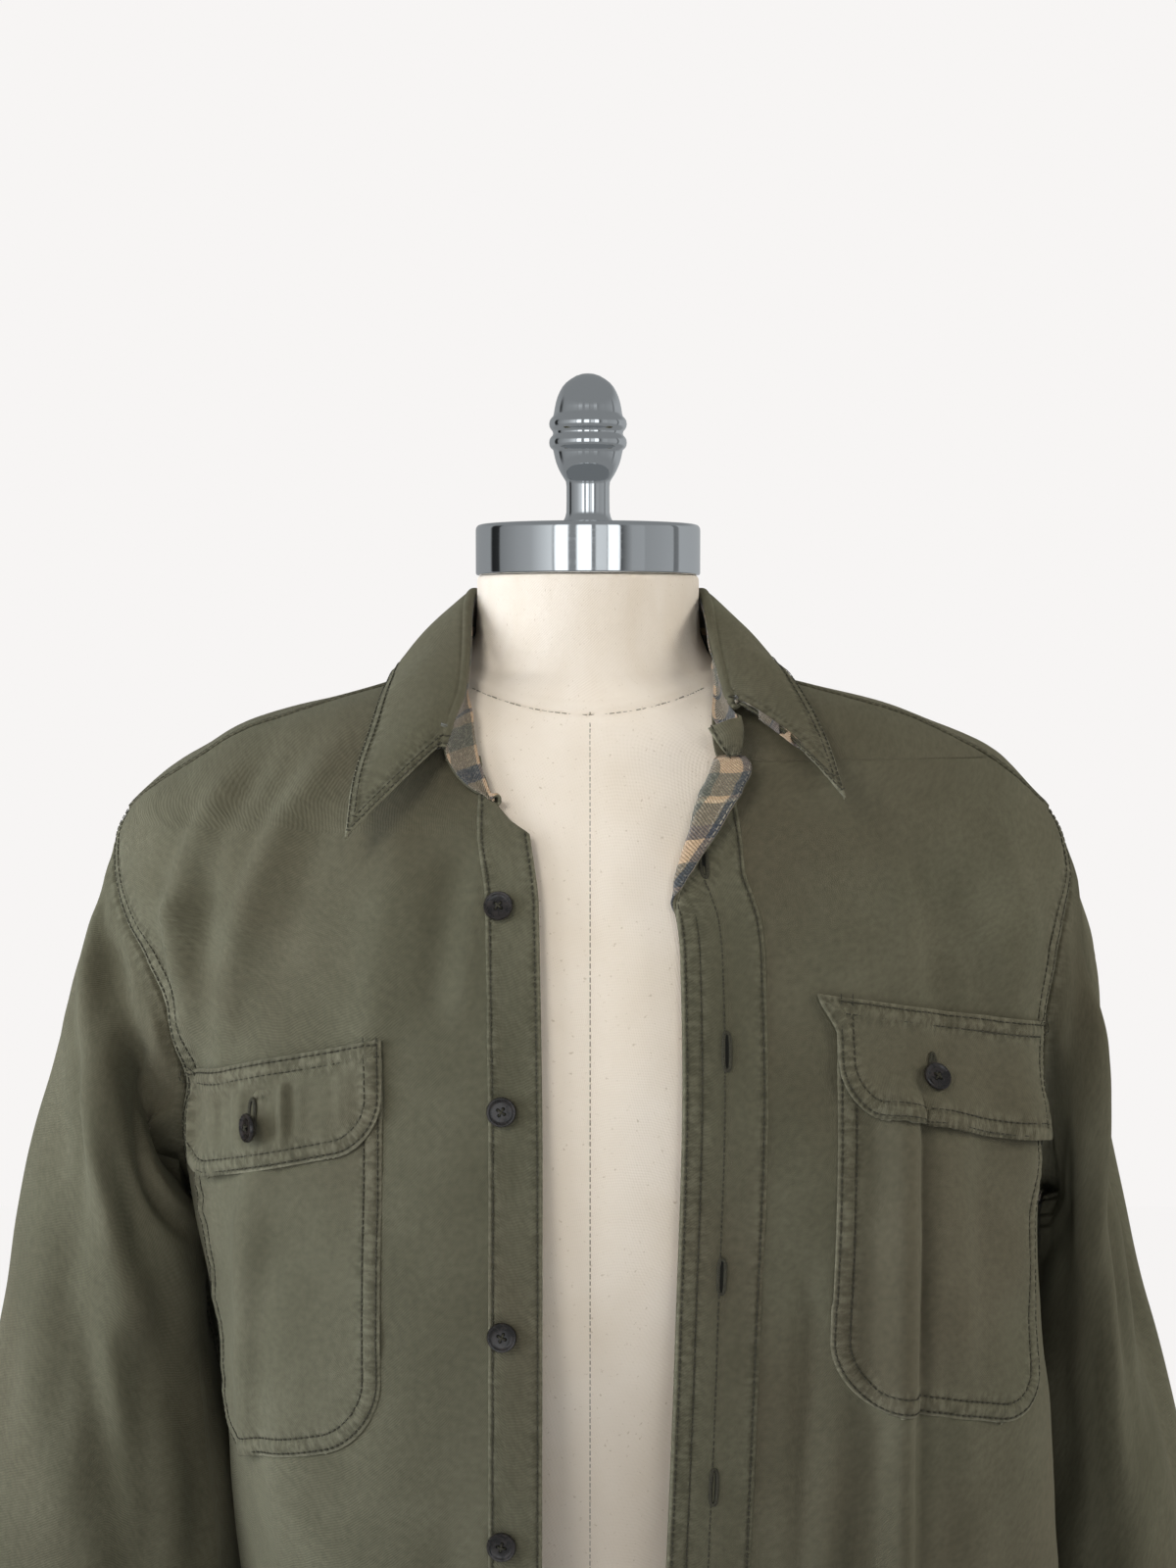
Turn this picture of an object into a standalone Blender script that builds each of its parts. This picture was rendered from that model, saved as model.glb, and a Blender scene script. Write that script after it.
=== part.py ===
"""A shirt jacket, worn open on a limbless dress form that stands on its own round base.

Metres, +Z up, and the front faces -Y. A 'drop' is a distance below the shirt's high point at the
side of the neck. Right and left are the wearer's, so the wearer's right is at -X.
A point of the shirt's body is named by its ring, which is a drop at the centre of the front, and
by its run, the distance round that ring from the centre front (negative on the wearer's right).
"""

import math

import bmesh
import bpy
import numpy as np
from mathutils import Vector

# Driving sizes
SHOULDER_HEIGHT = 1.000  # the shirt's high point above the surface that the stand is on
CLOTH = 0.0015  # twill with its brushed backing
LINING = 0.0010  # flannel inside the collar stand and the front edge
SEAM = 0.0005  # what is left free between two pieces at a seam
SIDE_SEAM = 0.0008
SLANT_SEAM = 0.0011  # the same, along a ring that the seam crosses at a slant
ARMHOLE_SEAM = 0.0015  # from the middle of the body's cloth to the middle of the sleeve's
UNDERARM_SEAM = 0.0012  # what is added to that under the arm, where the sleeve doubles back
UNDERARM_REACH = 0.05
LAYER = 0.0005  # what is left free under a piece that lies on another
HITCH = 0.0185  # how much higher the wearer's left front hangs than the right
HEM_DROP = 0.735
HEM_SIDE_RISE = 0.035  # the hem curves up at the side seams
HEM_CURVE_STARTS = 0.50
UNDERARM = 0.220
ARMHOLE_TOP = 0.072
YOKE_SEAM = 0.112

BUTTON_RADIUS = 0.0070
BUTTON_THICKNESS = 0.0030
BUTTON_RIM = 0.0014  # width of the raised rim
BUTTON_DISH = 0.0008  # how far the middle lies below the rim
BUTTON_SIDES = 14
BUTTON_RINGS = (0.1093, 0.1982, 0.3014, 0.3999, 0.4966, 0.5933)
BUTTON_INSET = 0.0185  # from the front edge

BUTTON_BAND = 0.025
BUTTONHOLE_BAND = 0.040
FACING_DEPTH = 0.075  # how far the flannel facing runs down the wearer's left edge
POCKET_WIDTH = 0.120
POCKET_IN = {"right": 0.0745, "left": 0.0730}  # from the front edge to the pocket
FLAP_TOP = 0.1575  # ring of the flap's upper edge on the wearer's right
FLAP_HEIGHT = 0.049
POCKET_MIDDLE = 0.070  # a ring this far above the pocket's bottom
PLAIN_COLUMN = 0.030  # a gap between band and pocket that is wider than this has a column of its own
OUTER_COLUMNS = np.array([0.012, 0.024])  # columns past the pocket, where the widths are shared out
COLUMNS_SETTLE = 0.050  # rings above the flap over which the columns come to the pocket's places
POCKET_TOP_GAP = 0.008  # the pocket's mouth lies this far below the flap's upper edge
POCKET_BOTTOM = 0.342
POCKET_CORNER = ((0.0, 0.030), (0.008, 0.009), (0.028, 0.0))  # (in from the side, up from the end)
FLAP_CORNER = ((0.0, 0.023), (0.008, 0.007), (0.028, 0.0))
FLAP_BUTTON = {"right": 0.1390, "left": 0.1210}  # from the front edge
FLAP_BUTTON_DOWN = 0.58  # share of the flap's height

CUFF_HEIGHT = 0.062
CUFF_CLOTH = 0.0024
CUFF_LEAN = (0.012, -0.010)  # outwards and forwards, from the top of the cuff to its end
CUFF_ROWS = ((0.0, 1.0), (0.5, 0.97), (1.0, 0.95))  # (share of the height, share of the girth)
CUFF_BUTTON_TURN = 0.86  # share of the turn round the cuff, from the underarm by way of the front

CAP_RADIUS = 0.0570
CAP_BOTTOM = 0.047  # above the shirt's high point
CAP_HEIGHT = 0.0255
TORSO_BOTTOM = 0.785  # drop
POLE_RADIUS = 0.016
BASE_RADIUS = 0.165
BASE_HEIGHT = 0.020
JOIN = 0.0003  # what is left free between two pieces of the stand
CAP_RIM = 0.003
FLANGE_RADIUS, FLANGE_HEIGHT = 0.038, 0.006  # the plate that the pole ends in under the torso
BASE_EDGE = 0.006
CAP_SIDES, POLE_SIDES, BASE_SIDES, TORSO_SIDES = 36, 24, 40, 36

# The shirt's body, one row for each ring: its widest points (x), where they lie (y), and how far
# it reaches in front and behind.
BODY = {
    "ring":       (.000, .009, .020, .030, .041, .052, .063, .072, .085, .100, .120, .140, .166, .200,
                   .235, .270, .320, .360, .430, .520, .620, .735),
    "right_x":    (.078, .107, .150, .179, .198, .2135, .2260, .2335, .2400, .2425, .2390, .2280,
                   .2130, .2025, .1960, .1885, .1815, .1760, .1690, .1660, .1720, .1820),
    "left_x":     (.080, .114, .156, .184, .205, .2175, .2275, .2345, .2420, .2475, .2460, .2380,
                   .2300, .2250, .2225, .2235, .2285, .2310, .2345, .2360, .2360, .2380),
    "right_y":    (.000, .000, .000, .000, .000, .000, .000, .000, .000, .000, -.003, -.006, -.010,
                   -.014, -.018, -.020, -.020, -.020, -.020, -.018, -.014, -.010),
    "left_y":     (.000, .000, .000, .000, .000, .000, .000, .000, .000, .000, -.006, -.012, -.022,
                   -.034, -.042, -.046, -.048, -.048, -.046, -.040, -.034, -.030),
    "front":      (.060, .0625, .068, .074, .081, .0875, .0940, .0990, .1055, .1120, .1190, .1250,
                   .1310, .1360, .1385, .1390, .1385, .1375, .1360, .1350, .1350, .1370),
    "back":       (.066, .072, .080, .086, .092, .0965, .1005, .1035, .1075, .1105, .1135, .1155,
                   .1175, .1185, .1185, .1170, .1150, .1140, .1140, .1160, .1190, .1230),
    "squareness": (2.00, 2.00, 2.00, 2.00, 2.00, 2.00, 2.00, 2.00, 2.00, 2.05, 2.10, 2.15, 2.20, 2.25,
                   2.30, 2.30, 2.30, 2.30, 2.25, 2.20, 2.20, 2.20),
}
SAG = 0.044  # how much lower a ring hangs at the sides than at the centre front
SAG_STARTS, SAG_FULL = 0.080, 0.160
SAG_POWER = 1.4

# The front edges and the neckline, as the distance from the centre plane at each ring.
FRONT_EDGE = {
    "right": {"ring": (.077, .110, .235, .450, .735), "x": (.0275, .0230, .0210, .0215, .0235)},
    "left":  {"ring": (.047, .100, .180, .310, .460, .735), "x": (.0345, .0410, .0420, .0400, .0345, .0300)},
}
NECKLINE = {
    "right": {"ring": (.000, .010, .020, .032, .046, .062, .071, .077),
              "x": (.0660, .0595, .0565, .0545, .0512, .0445, .0365, .0275)},
    "left":  {"ring": (.000, .010, .020, .030, .040, .047), "x": (.0660, .0615, .0602, .0595, .0560, .0345)},
}
# Where the shoulder seam and the armhole cross each ring, as a y.
FRONT_OUTER = {
    "ring":  (.000, .009, .020, .030, .041, .052, .063, .072, .085, .098, .110, .121, .137, .160, .190, .220),
    "right": (-.014, -.018, -.022, -.023, -.022, -.020, -.014, -.006, -.013, -.025, -.040, -.055, -.064,
              -.061, -.044, None),
    "left":  (-.014, -.018, -.022, -.023, -.022, -.020, -.014, -.006, -.013, -.025, -.039, -.049, -.055,
              -.056, -.048, None),
}
BACK_OUTER = {
    "ring": (.072, .078, .088, .099, .112, .125, .146, .170, .195, .220),
    "both": (-.006, .006, .022, .036, .049, .057, .063, .060, .040, None),
}

# The largest folds of the body: from (run, ring) to (run, ring), how far the line bows sideways,
# its half width, and its height (below zero for a trough).
FOLD_COLUMNS = ("run_0", "ring_0", "run_1", "ring_1", "bow", "width", "height")
BODY_FOLDS = {
    "run_0":  (-.190, -.215, -.140, -.165, .128, .165, -.060, .215, -.100, .060, -.310, .330, .175, -.235),
    "ring_0": (.085, .100, .060, .130, .330, .205, .075, .105, .190, .200, .300, .300, .080, .300),
    "run_1":  (-.218, -.205, -.215, -.150, .108, .158, -.075, .225, -.130, .075, -.330, .350, .168, -.255),
    "ring_1": (.175, .150, .150, .400, .735, .735, .155, .215, .640, .700, .735, .735, .160, .735),
    "bow":    (.006, .004, .008, .006, .004, .006, .004, -.004, .010, .012, .006, .006, .004, .008),
    "width":  (.013, .010, .012, .022, .013, .017, .012, .014, .040, .040, .028, .028, .010, .026),
    "height": (-.0060, .0045, .0040, .0050, -.0070, -.0090, -.0035, .0060, .0060, -.0060, -.0040, -.0100,
               -.0035, .0070),
}

# The sleeves: where the outer and the inner line lie at each station, the middle of the ring front
# to back, and its half depth.
SLEEVES = {
    "right": {
        "outer_x":    (.2410, .2465, .2550, .2635, .2735, .2890, .3010, .3130, .3220, .3220, .3110),
        "outer_drop": (.0760, .1000, .1300, .1700, .2150, .2850, .3480, .4250, .5100, .5800, .6230),
        "inner_x":    (.1980, .2010, .2020, .2010, .1980, .1915, .1840, .1780, .1850, .2080, .2290),
        "inner_drop": (.2640, .2690, .2760, .2880, .3080, .3450, .3900, .4500, .5200, .5820, .6230),
        "middle_y":   (.0000, .0000, .0000, -.0010, -.0020, -.0040, -.0060, -.0100, -.0170, -.0240, -.0280),
        "half_depth": (.0700, .0700, .0690, .0680, .0660, .0640, .0630, .0620, .0600, .0520, .0420),
    },
    "left": {
        "outer_x":    (.2480, .2550, .2580, .2600, .2650, .2810, .2970, .3150, .3280, .3290, .3160),
        "outer_drop": (.0800, .1050, .1350, .1750, .2250, .2900, .3500, .4250, .5100, .5800, .6230),
        "inner_x":    (.2250, .2290, .2310, .2310, .2300, .2270, .2240, .2240, .2260, .2330, .2370),
        "inner_drop": (.2640, .2690, .2760, .2880, .3080, .3450, .3900, .4500, .5200, .5820, .6230),
        "middle_y":   (.0000, .0030, .0080, .0150, .0230, .0300, .0330, .0300, .0200, .0080, .0000),
        "half_depth": (.0700, .0700, .0690, .0680, .0670, .0660, .0650, .0640, .0610, .0520, .0420),
    },
}
# Folds of a sleeve: from (turn, length) to (turn, length) as shares of the turn and of the length.
# Turn 0 is the underarm line, .25 the front, .5 the outer line and .75 the back.
SLEEVE_FOLDS = {
    "right": {
        "turn_0":   (.40, .26, .34, .66, .74, .14),
        "length_0": (.10, .13, .18, .12, .16, .40),
        "turn_1":   (.16, .12, .20, .84, .90, .22),
        "length_1": (.52, .34, .70, .46, .70, .92),
        "bow":      (.010, .006, .012, .010, .012, .006),
        "width":    (.017, .013, .016, .016, .016, .016),
        "height":   (.0080, -.0090, -.0070, -.0080, .0060, -.0050),
    },
    "left": {
        "turn_0":   (.30, .42, .36, .66, .78, .24),
        "length_0": (.08, .30, .06, .12, .20, .45),
        "turn_1":   (.24, .40, .30, .84, .88, .20),
        "length_1": (.80, .95, .62, .50, .74, .94),
        "bow":      (.006, .008, .008, .010, .010, .006),
        "width":    (.014, .015, .014, .016, .016, .016),
        "height":   (.0060, -.0070, -.0070, -.0080, .0060, -.0060),
    },
}

# The collar, one row for each place along it from the wearer's right end to the left end: where it
# leaves the neckline (side and ring, or round the back), its fold, and the outer edge of its leaf.
COLLAR = {
    "neck_ring": (.064, .055, .046, .036, .024, .010, None, None, None, None, None, None, None, None,
                  None, .008, .016, .024, .031, .038, .044),
    "neck_turn": (None, None, None, None, None, None, -.285, -.42, -.60, -.82, 1.0, .82, .60, .42, .285,
                  None, None, None, None, None, None),
    "fold_x":    (-.0450, -.0560, -.0640, -.0685, -.0650, -.0602, -.0590, -.0590, -.0575, -.0370, .0000,
                  .0370, .0575, .0590, .0610, .0645, .0670, .0700, .0712, .0708, .0680),
    "fold_y":    (-.0930, -.0915, -.0885, -.0840, -.0750, -.0630, -.0440, -.0150, .0200, .0570, .0680,
                  .0570, .0200, -.0150, -.0420, -.0560, -.0640, -.0720, -.0790, -.0850, -.0895),
    "fold_drop": (.0610, .0560, .0480, .0373, .0235, .0080, -.0130, -.0330, -.0390, -.0390, -.0385,
                  -.0390, -.0390, -.0330, -.0150, .0010, .0115, .0195, .0260, .0330, .0400),
    "edge_x":    (None, None, None, -.1140, -.1125, -.1070, -.1020, -.0985, -.0890, -.0530, .0000,
                  .0530, .0870, .0955, .0990, .1070, .1150, .1206, None, None, None),
    "edge_y":    (None, None, None, -.1135, -.0960, -.0700, -.0420, -.0060, .0420, .0810, .0930,
                  .0810, .0420, -.0060, -.0400, -.0640, -.0880, -.1135, None, None, None),
    "edge_drop": (None, None, None, .0770, .0540, .0300, .0100, .0015, .0035, .0115, .0140,
                  .0115, .0035, -.0015, .0010, .0145, .0340, .0580, None, None, None),
}
STAND_ROWS = (0.0, 0.5, 1.0)  # shares of the way from the neckline to the fold
LINING_ROWS = (0.06, 0.5, 1.0)
LEAF_ROWS = (0.0, 0.15, 0.55, 1.0)  # shares of the way from the fold to the leaf's edge
STAND_COLUMNS = 33
LEAF_COLUMNS = 29
LEAF_LIFT = 0.0030  # the leaf's fold stands off the collar stand
LEAF_BULGE = 0.002

# Rings and stations of the panels' grids.
SHOULDER_RINGS = (0.0, .010, .020, .030, .041, .052, .063, ARMHOLE_TOP)
ARMHOLE_RINGS = (.090, .106, .122)
SKIRT_RINGS = (.390, .450, .520, .590, .660, HEM_DROP)
CLOSEST_RINGS = 0.0035  # a ring nearer than this to the one above it is left out
YOKE_RINGS = (0.0, .010, .022, .035, .052, ARMHOLE_TOP, .078, .088, .099, YOKE_SEAM - SEAM / 2)
YOKE_COLUMNS = 23
BACK_RINGS = (YOKE_SEAM + SEAM / 2, .128, .150, .174, .198, UNDERARM, .260, .310, .365, .425, .490, .550,
              .610, .672, HEM_DROP)
BACK_COLUMNS = 21
SLEEVE_STATIONS = (0.0, .03, .07, .12, .18, .245, .32, .40, .48, .56, .64, .72, .80, .88, .95, 1.0)
SLEEVE_ROUND, SLEEVE_LONG = 0.42, 0.60  # the size that a sleeve's folds are measured on
SLEEVE_EASES = 0.30  # share of its length over which a sleeve takes up the armhole's shape
SLEEVE_FOLDS_GROW, SLEEVE_FOLDS_END = (0.03, 0.16), (0.90, 1.0)  # no folds in a sleeve's two seams
FOLD_STARTS, FOLD_ENDS = (-0.02, 0.22), (0.80, 1.10)  # shares of its length where a fold grows and fades
RING_POINTS = 1441  # points that stand for a smooth ring
EPS = 1e-6

# The dress form, one row for each level, by its drop.
TORSO = {
    "drop":       (-.047, -.020, .000, .009, .020, .030, .041, .052, .063, .072, .085, .100, .120,
                   .140, .166, .200, .235, .270, .320, .360, .430, .520, .620, .700, .760, .785),
    "half_width": (.0562, .0568, .0680, .0985, .1430, .1720, .1880, .1950, .1990, .2010, .2020,
                   .2020, .2000, .1960, .1890, .1800, .1730, .1660, .1570, .1510, .1450, .1450, .1500,
                   .1530, .1510, .1430),
    "front":      (.0562, .0568, .0585, .0600, .0645, .0705, .0770, .0835, .0895, .0945, .1005,
                   .1070, .1135, .1190, .1250, .1295, .1310, .1300, .1235, .1165, .1080, .1070, .1100,
                   .1110, .1080, .1000),
    "back":       (.0562, .0568, .0620, .0690, .0770, .0830, .0890, .0930, .0965, .0990, .1020,
                   .1050, .1080, .1100, .1115, .1110, .1080, .1040, .0970, .0930, .0900, .0930, .0990,
                   .1010, .0980, .0910),
    "squareness": (2.0, 2.0, 2.0, 2.0, 2.0, 2.0, 2.0, 2.0, 2.0, 2.0, 2.0, 2.05, 2.1, 2.15, 2.2, 2.25,
                   2.25, 2.25, 2.2, 2.2, 2.2, 2.2, 2.25, 2.3, 2.3, 2.2),
}
# Turned profiles, as (radius, height above the neck cap's top).
FINIAL = ((0.0, 0.0), (.0133, 0.0), (.0112, .0040), (.0110, .0210), (.0128, .0240),
          (.0148, .0290), (.0175, .0360), (.0195, .0400), (.0176, .0455), (.0195, .0505), (.0168, .0560),
          (.0156, .0620), (.0134, .0670), (.0104, .0715), (.0060, .0750), (.0, .0762))

MATERIALS = {  # colour, metallic, roughness
    "twill":   ((.105, .100, .065), 0.0, 0.85),
    "flannel": ((.380, .290, .190), 0.0, 0.92),
    "horn":    ((.020, .017, .016), 0.0, 0.30),
    "canvas":  ((.700, .630, .500), 0.0, 0.90),
    "chrome":  ((.620, .640, .650), 1.0, 0.08),
}


def smooth_curve(xs, ys):
    """A smooth curve through the points that never overshoots them, as a function."""
    xs, ys = np.asarray(xs, float), np.asarray(ys, float)
    step = np.diff(xs)
    slope = np.diff(ys) / step
    tangent = np.zeros_like(ys)
    same = slope[:-1] * slope[1:] > 0
    tangent[1:-1][same] = (2 * slope[:-1] * slope[1:])[same] / (slope[:-1] + slope[1:])[same]
    tangent[0], tangent[-1] = slope[0], slope[-1]

    def at(x):
        x = np.clip(x, xs[0], xs[-1])
        i = np.clip(np.searchsorted(xs, x) - 1, 0, len(step) - 1)
        t, h = (x - xs[i]) / step[i], step[i]
        return (ys[i] * (1 + 2 * t) * (1 - t) ** 2 + tangent[i] * h * t * (1 - t) ** 2
                + ys[i + 1] * t * t * (3 - 2 * t) + tangent[i + 1] * h * t * t * (t - 1))

    return at


def ease(x, low, high):
    """0 below low, 1 above high, and a smooth step between them."""
    t = np.clip((np.asarray(x, float) - low) / (high - low), 0, 1)
    return t * t * (3 - 2 * t)


BODY_AT = {name: smooth_curve(BODY["ring"], values) for name, values in BODY.items()}


def superellipse(turn, x_low, x_high, y_low, y_high, front, back, squareness):
    """Points of a ring. turn runs from -1 to 1, with 0 at the front and the sides at -.5 and .5."""
    angle = np.asarray(turn, float) * math.pi
    sine = np.abs(np.sin(angle)) ** (2 / squareness)
    cosine = np.abs(np.cos(angle)) ** (2 / squareness)
    side_y = np.where(angle < 0, y_low, y_high)
    x = np.where(angle < 0, -x_low, x_high) * sine
    y = np.where(np.cos(angle) > 0, side_y - (front + side_y) * cosine, side_y + (back - side_y) * cosine)
    return x, y


class Ring:
    """One ring of the shirt's body. Its points are found by their run, the distance round it."""

    def __init__(self, ring):
        self.ring = ring
        size = {name: float(at(ring)) for name, at in BODY_AT.items()}
        turn = np.linspace(-1, 1, RING_POINTS)
        self.x, self.y = superellipse(turn, size["right_x"], size["left_x"], size["right_y"], size["left_y"],
                                      size["front"], size["back"], size["squareness"])
        length = np.concatenate([[0], np.cumsum(np.hypot(np.diff(self.x), np.diff(self.y)))])
        self.run = length - length[len(turn) // 2]
        self.turn = turn
        self.widest = {-1: size["right_x"], 1: size["left_x"]}
        self.side_y = {-1: size["right_y"], 1: size["left_y"]}

    def run_at_x(self, side, x):
        """The run of the point in front at that distance from the centre plane. side is -1 or 1."""
        front = (np.abs(self.turn) <= 0.5) & (self.turn * side >= 0)
        order = np.argsort(np.abs(self.x[front]))
        return float(np.interp(x, np.abs(self.x[front])[order], self.run[front][order]))

    def run_at_y(self, side, y):
        """The run of the point on that side at that y; the side seam's if y is None."""
        half = self.turn * side > 0
        order = np.argsort(self.y[half])
        y = self.side_y[side] if y is None else y
        return float(np.interp(y, self.y[half][order], self.run[half][order]))

    def run_at_turn(self, turn):
        return float(np.interp(turn, self.turn, self.run))

    def points(self, runs):
        x, y = np.interp(runs, self.run, self.x), np.interp(runs, self.run, self.y)
        out = np.where(x < 0, np.abs(x) / self.widest[-1], np.abs(x) / self.widest[1])
        sag = SAG * float(ease(self.ring, SAG_STARTS, SAG_FULL)) * out ** SAG_POWER
        return np.stack([x, y, SHOULDER_HEIGHT - self.ring - sag], axis=-1)


def fold_height(table, across, along):
    """The sum of a table's folds at points (across, along) of a surface, in metres."""
    total = np.zeros(np.broadcast(across, along).shape)
    for run_0, ring_0, run_1, ring_1, bow, width, height in zip(*(table[name] for name in FOLD_COLUMNS)):
        da, db = run_1 - run_0, ring_1 - ring_0
        long = math.hypot(da, db)
        share = ((across - run_0) * da + (along - ring_0) * db) / long ** 2
        aside = ((across - run_0) * db - (along - ring_0) * da) / long
        inside = np.clip(share, 0, 1)
        aside = aside - bow * 4 * inside * (1 - inside)
        fade = ease(share, *FOLD_STARTS)
        if ring_1 < HEM_DROP:
            fade = fade * (1 - ease(share, *FOLD_ENDS))
        total = total + height * np.exp(-(aside / width) ** 2) * fade
    return total


def body_surface(runs, rings):
    """(points, outward normals) of the body's middle surface at a grid of runs, one row a ring."""
    step = 0.002

    def plain(rings_, shift):
        return np.stack([Ring(r).points(row + shift) for r, row in zip(rings_, runs)])

    points = plain(rings, 0.0)
    along_run = plain(rings, step) - plain(rings, -step)
    along_ring = plain(np.asarray(rings) + step, 0.0) - plain(np.asarray(rings) - step, 0.0)
    normals = unit(np.cross(along_run, -along_ring))
    height = fold_height(BODY_FOLDS, runs, np.asarray(rings)[:, None])
    return points + normals * height[..., None], normals


def unit(vectors):
    return vectors / np.maximum(np.linalg.norm(vectors, axis=-1, keepdims=True), 1e-12)


def grid_normals(points, closed=False):
    """Normals of a grid of points, rows by columns; closed where the columns go all the way round."""
    if closed:
        across = np.roll(points, -1, axis=1) - np.roll(points, 1, axis=1)
    else:
        across = np.gradient(points, axis=1)
    down = np.gradient(points, axis=0)
    return unit(np.cross(across, -down))


# Making objects

def collection(name):
    made = bpy.data.collections.new(name)
    bpy.context.scene.collection.children.link(made)
    return made


def material(name):
    colour, metallic, roughness = MATERIALS[name]
    made = bpy.data.materials.get(name)
    if made is None:
        made = bpy.data.materials.new(name)
        made.use_nodes = True
        shader = made.node_tree.nodes["Principled BSDF"]
        shader.inputs["Base Color"].default_value = (*colour, 1)
        shader.inputs["Metallic"].default_value = metallic
        shader.inputs["Roughness"].default_value = roughness
    return made


def add_object(name, mesh, kind, group):
    made = bpy.data.objects.new(name, mesh)
    made.data.materials.append(material(kind))
    group.objects.link(made)
    return made


def grid_triangles(rows, columns, closed=False, flip_from=None):
    """Triangles of a grid. Cells from column flip_from on are split the other way."""
    triangles = []
    for i in range(rows - 1):
        for j in range(columns if closed else columns - 1):
            a, b = i * columns + j, i * columns + (j + 1) % columns
            c, d = a + columns, b + columns
            if flip_from is not None and j >= flip_from:
                triangles += [(a, b, c), (b, d, c)]
            else:
                triangles += [(a, b, d), (a, d, c)]
    return triangles


def shell(name, points, kind, group, thickness=CLOTH, triangles=None, closed=False):
    """A wall of cloth on a grid of points in its middle, made with Solidify."""
    rows, columns = points.shape[:2]
    flat = points.reshape(-1, 3)
    triangles = grid_triangles(rows, columns, closed) if triangles is None else triangles
    used = sorted({v for t in triangles for v in t})
    number = {old: new for new, old in enumerate(used)}
    mesh = bpy.data.meshes.new(name)
    mesh.from_pydata([tuple(flat[v]) for v in used], [], [tuple(number[v] for v in t) for t in triangles])
    made = add_object(name, mesh, kind, group)
    wall = made.modifiers.new("wall", "SOLIDIFY")
    wall.thickness = thickness
    wall.offset = 0.0
    made.data.shade_smooth()
    return made


def turned(name, profile, kind, group, sides, place=(0, 0, 0)):
    """A turned piece: a profile of (radius, height), bottom to top, with a Screw modifier."""
    mesh = bpy.data.meshes.new(name)
    points = [(r, 0, z) for r, z in reversed(profile)]
    mesh.from_pydata(points, [(i, i + 1) for i in range(len(points) - 1)], [])
    made = add_object(name, mesh, kind, group)
    made.location = place
    screw = made.modifiers.new("turned", "SCREW")
    screw.steps = screw.render_steps = sides
    screw.use_merge_vertices = True
    screw.merge_threshold = 0.00005
    return made


# The body panels

def side_name(side):
    return "right" if side < 0 else "left"


def lift_of(side):
    """How much higher that side's pocket and flap lie than the wearer's right ones."""
    return HITCH if side > 0 else 0.0


def edge_run(side, ring):
    """Run of a front's edge, or of the neckline above it, as a distance from the centre front."""
    edge, neck = FRONT_EDGE[side_name(side)], NECKLINE[side_name(side)]
    line = neck if ring < neck["ring"][-1] else edge
    return abs(Ring(ring).run_at_x(side, float(smooth_curve(line["ring"], line["x"])(ring))))


def seam_run(side, ring, table, column):
    """Run of the shoulder seam, the armhole or, under the arm, the side seam."""
    here = Ring(ring)
    if ring >= UNDERARM - EPS:
        return here.run_at_y(side, None)
    ys = [here.side_y[side] if y is None else y for y in table[column]]
    return here.run_at_y(side, float(smooth_curve(table["ring"], ys)(ring)))


def front_range(side, ring):
    """(start, end) of a front at a ring, as distances from the centre front."""
    end = abs(seam_run(side, ring, FRONT_OUTER, side_name(side)))
    if ring >= UNDERARM - EPS:
        end -= SIDE_SEAM / 2
    elif ring < ARMHOLE_TOP - EPS:
        end -= SLANT_SEAM / 2
    return edge_run(side, ring), end


def front_rings(side):
    """The rings of a front's grid: its pocket's and flap's corners lie on them."""
    top = FRONT_EDGE[side_name(side)]["ring"][0]
    flap, pocket = FLAP_TOP - lift_of(side), POCKET_BOTTOM - lift_of(side)
    rings = {top, UNDERARM, flap, flap + POCKET_TOP_GAP, pocket - POCKET_MIDDLE}
    rings |= set(SHOULDER_RINGS) | set(ARMHOLE_RINGS) | set(SKIRT_RINGS)
    rings |= {flap + FLAP_HEIGHT - up for _, up in FLAP_CORNER}
    rings |= {pocket - up for _, up in POCKET_CORNER}
    must = {top, ARMHOLE_TOP, UNDERARM, HEM_DROP}
    kept = []
    for ring in sorted(rings):
        if kept and ring - kept[-1] < CLOSEST_RINGS:
            if ring not in must:
                continue
            if kept[-1] not in must:
                kept.pop()
        kept.append(ring)
    return np.array(kept)


def front_columns(side):
    """The distances from the front edge of a front's columns, as far as its pocket's outer edge."""
    band = BUTTON_BAND if side < 0 else BUTTONHOLE_BAND
    pocket = POCKET_IN[side_name(side)]
    corner = [aside for aside, _ in POCKET_CORNER]
    columns = [0, band / 2, band]
    if pocket - band > PLAIN_COLUMN:
        columns.append((band + pocket) / 2)
    columns += [pocket + c for c in corner] + [pocket + POCKET_WIDTH / 2]
    columns += [pocket + POCKET_WIDTH - c for c in reversed(corner)]
    return np.array(columns)


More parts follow.
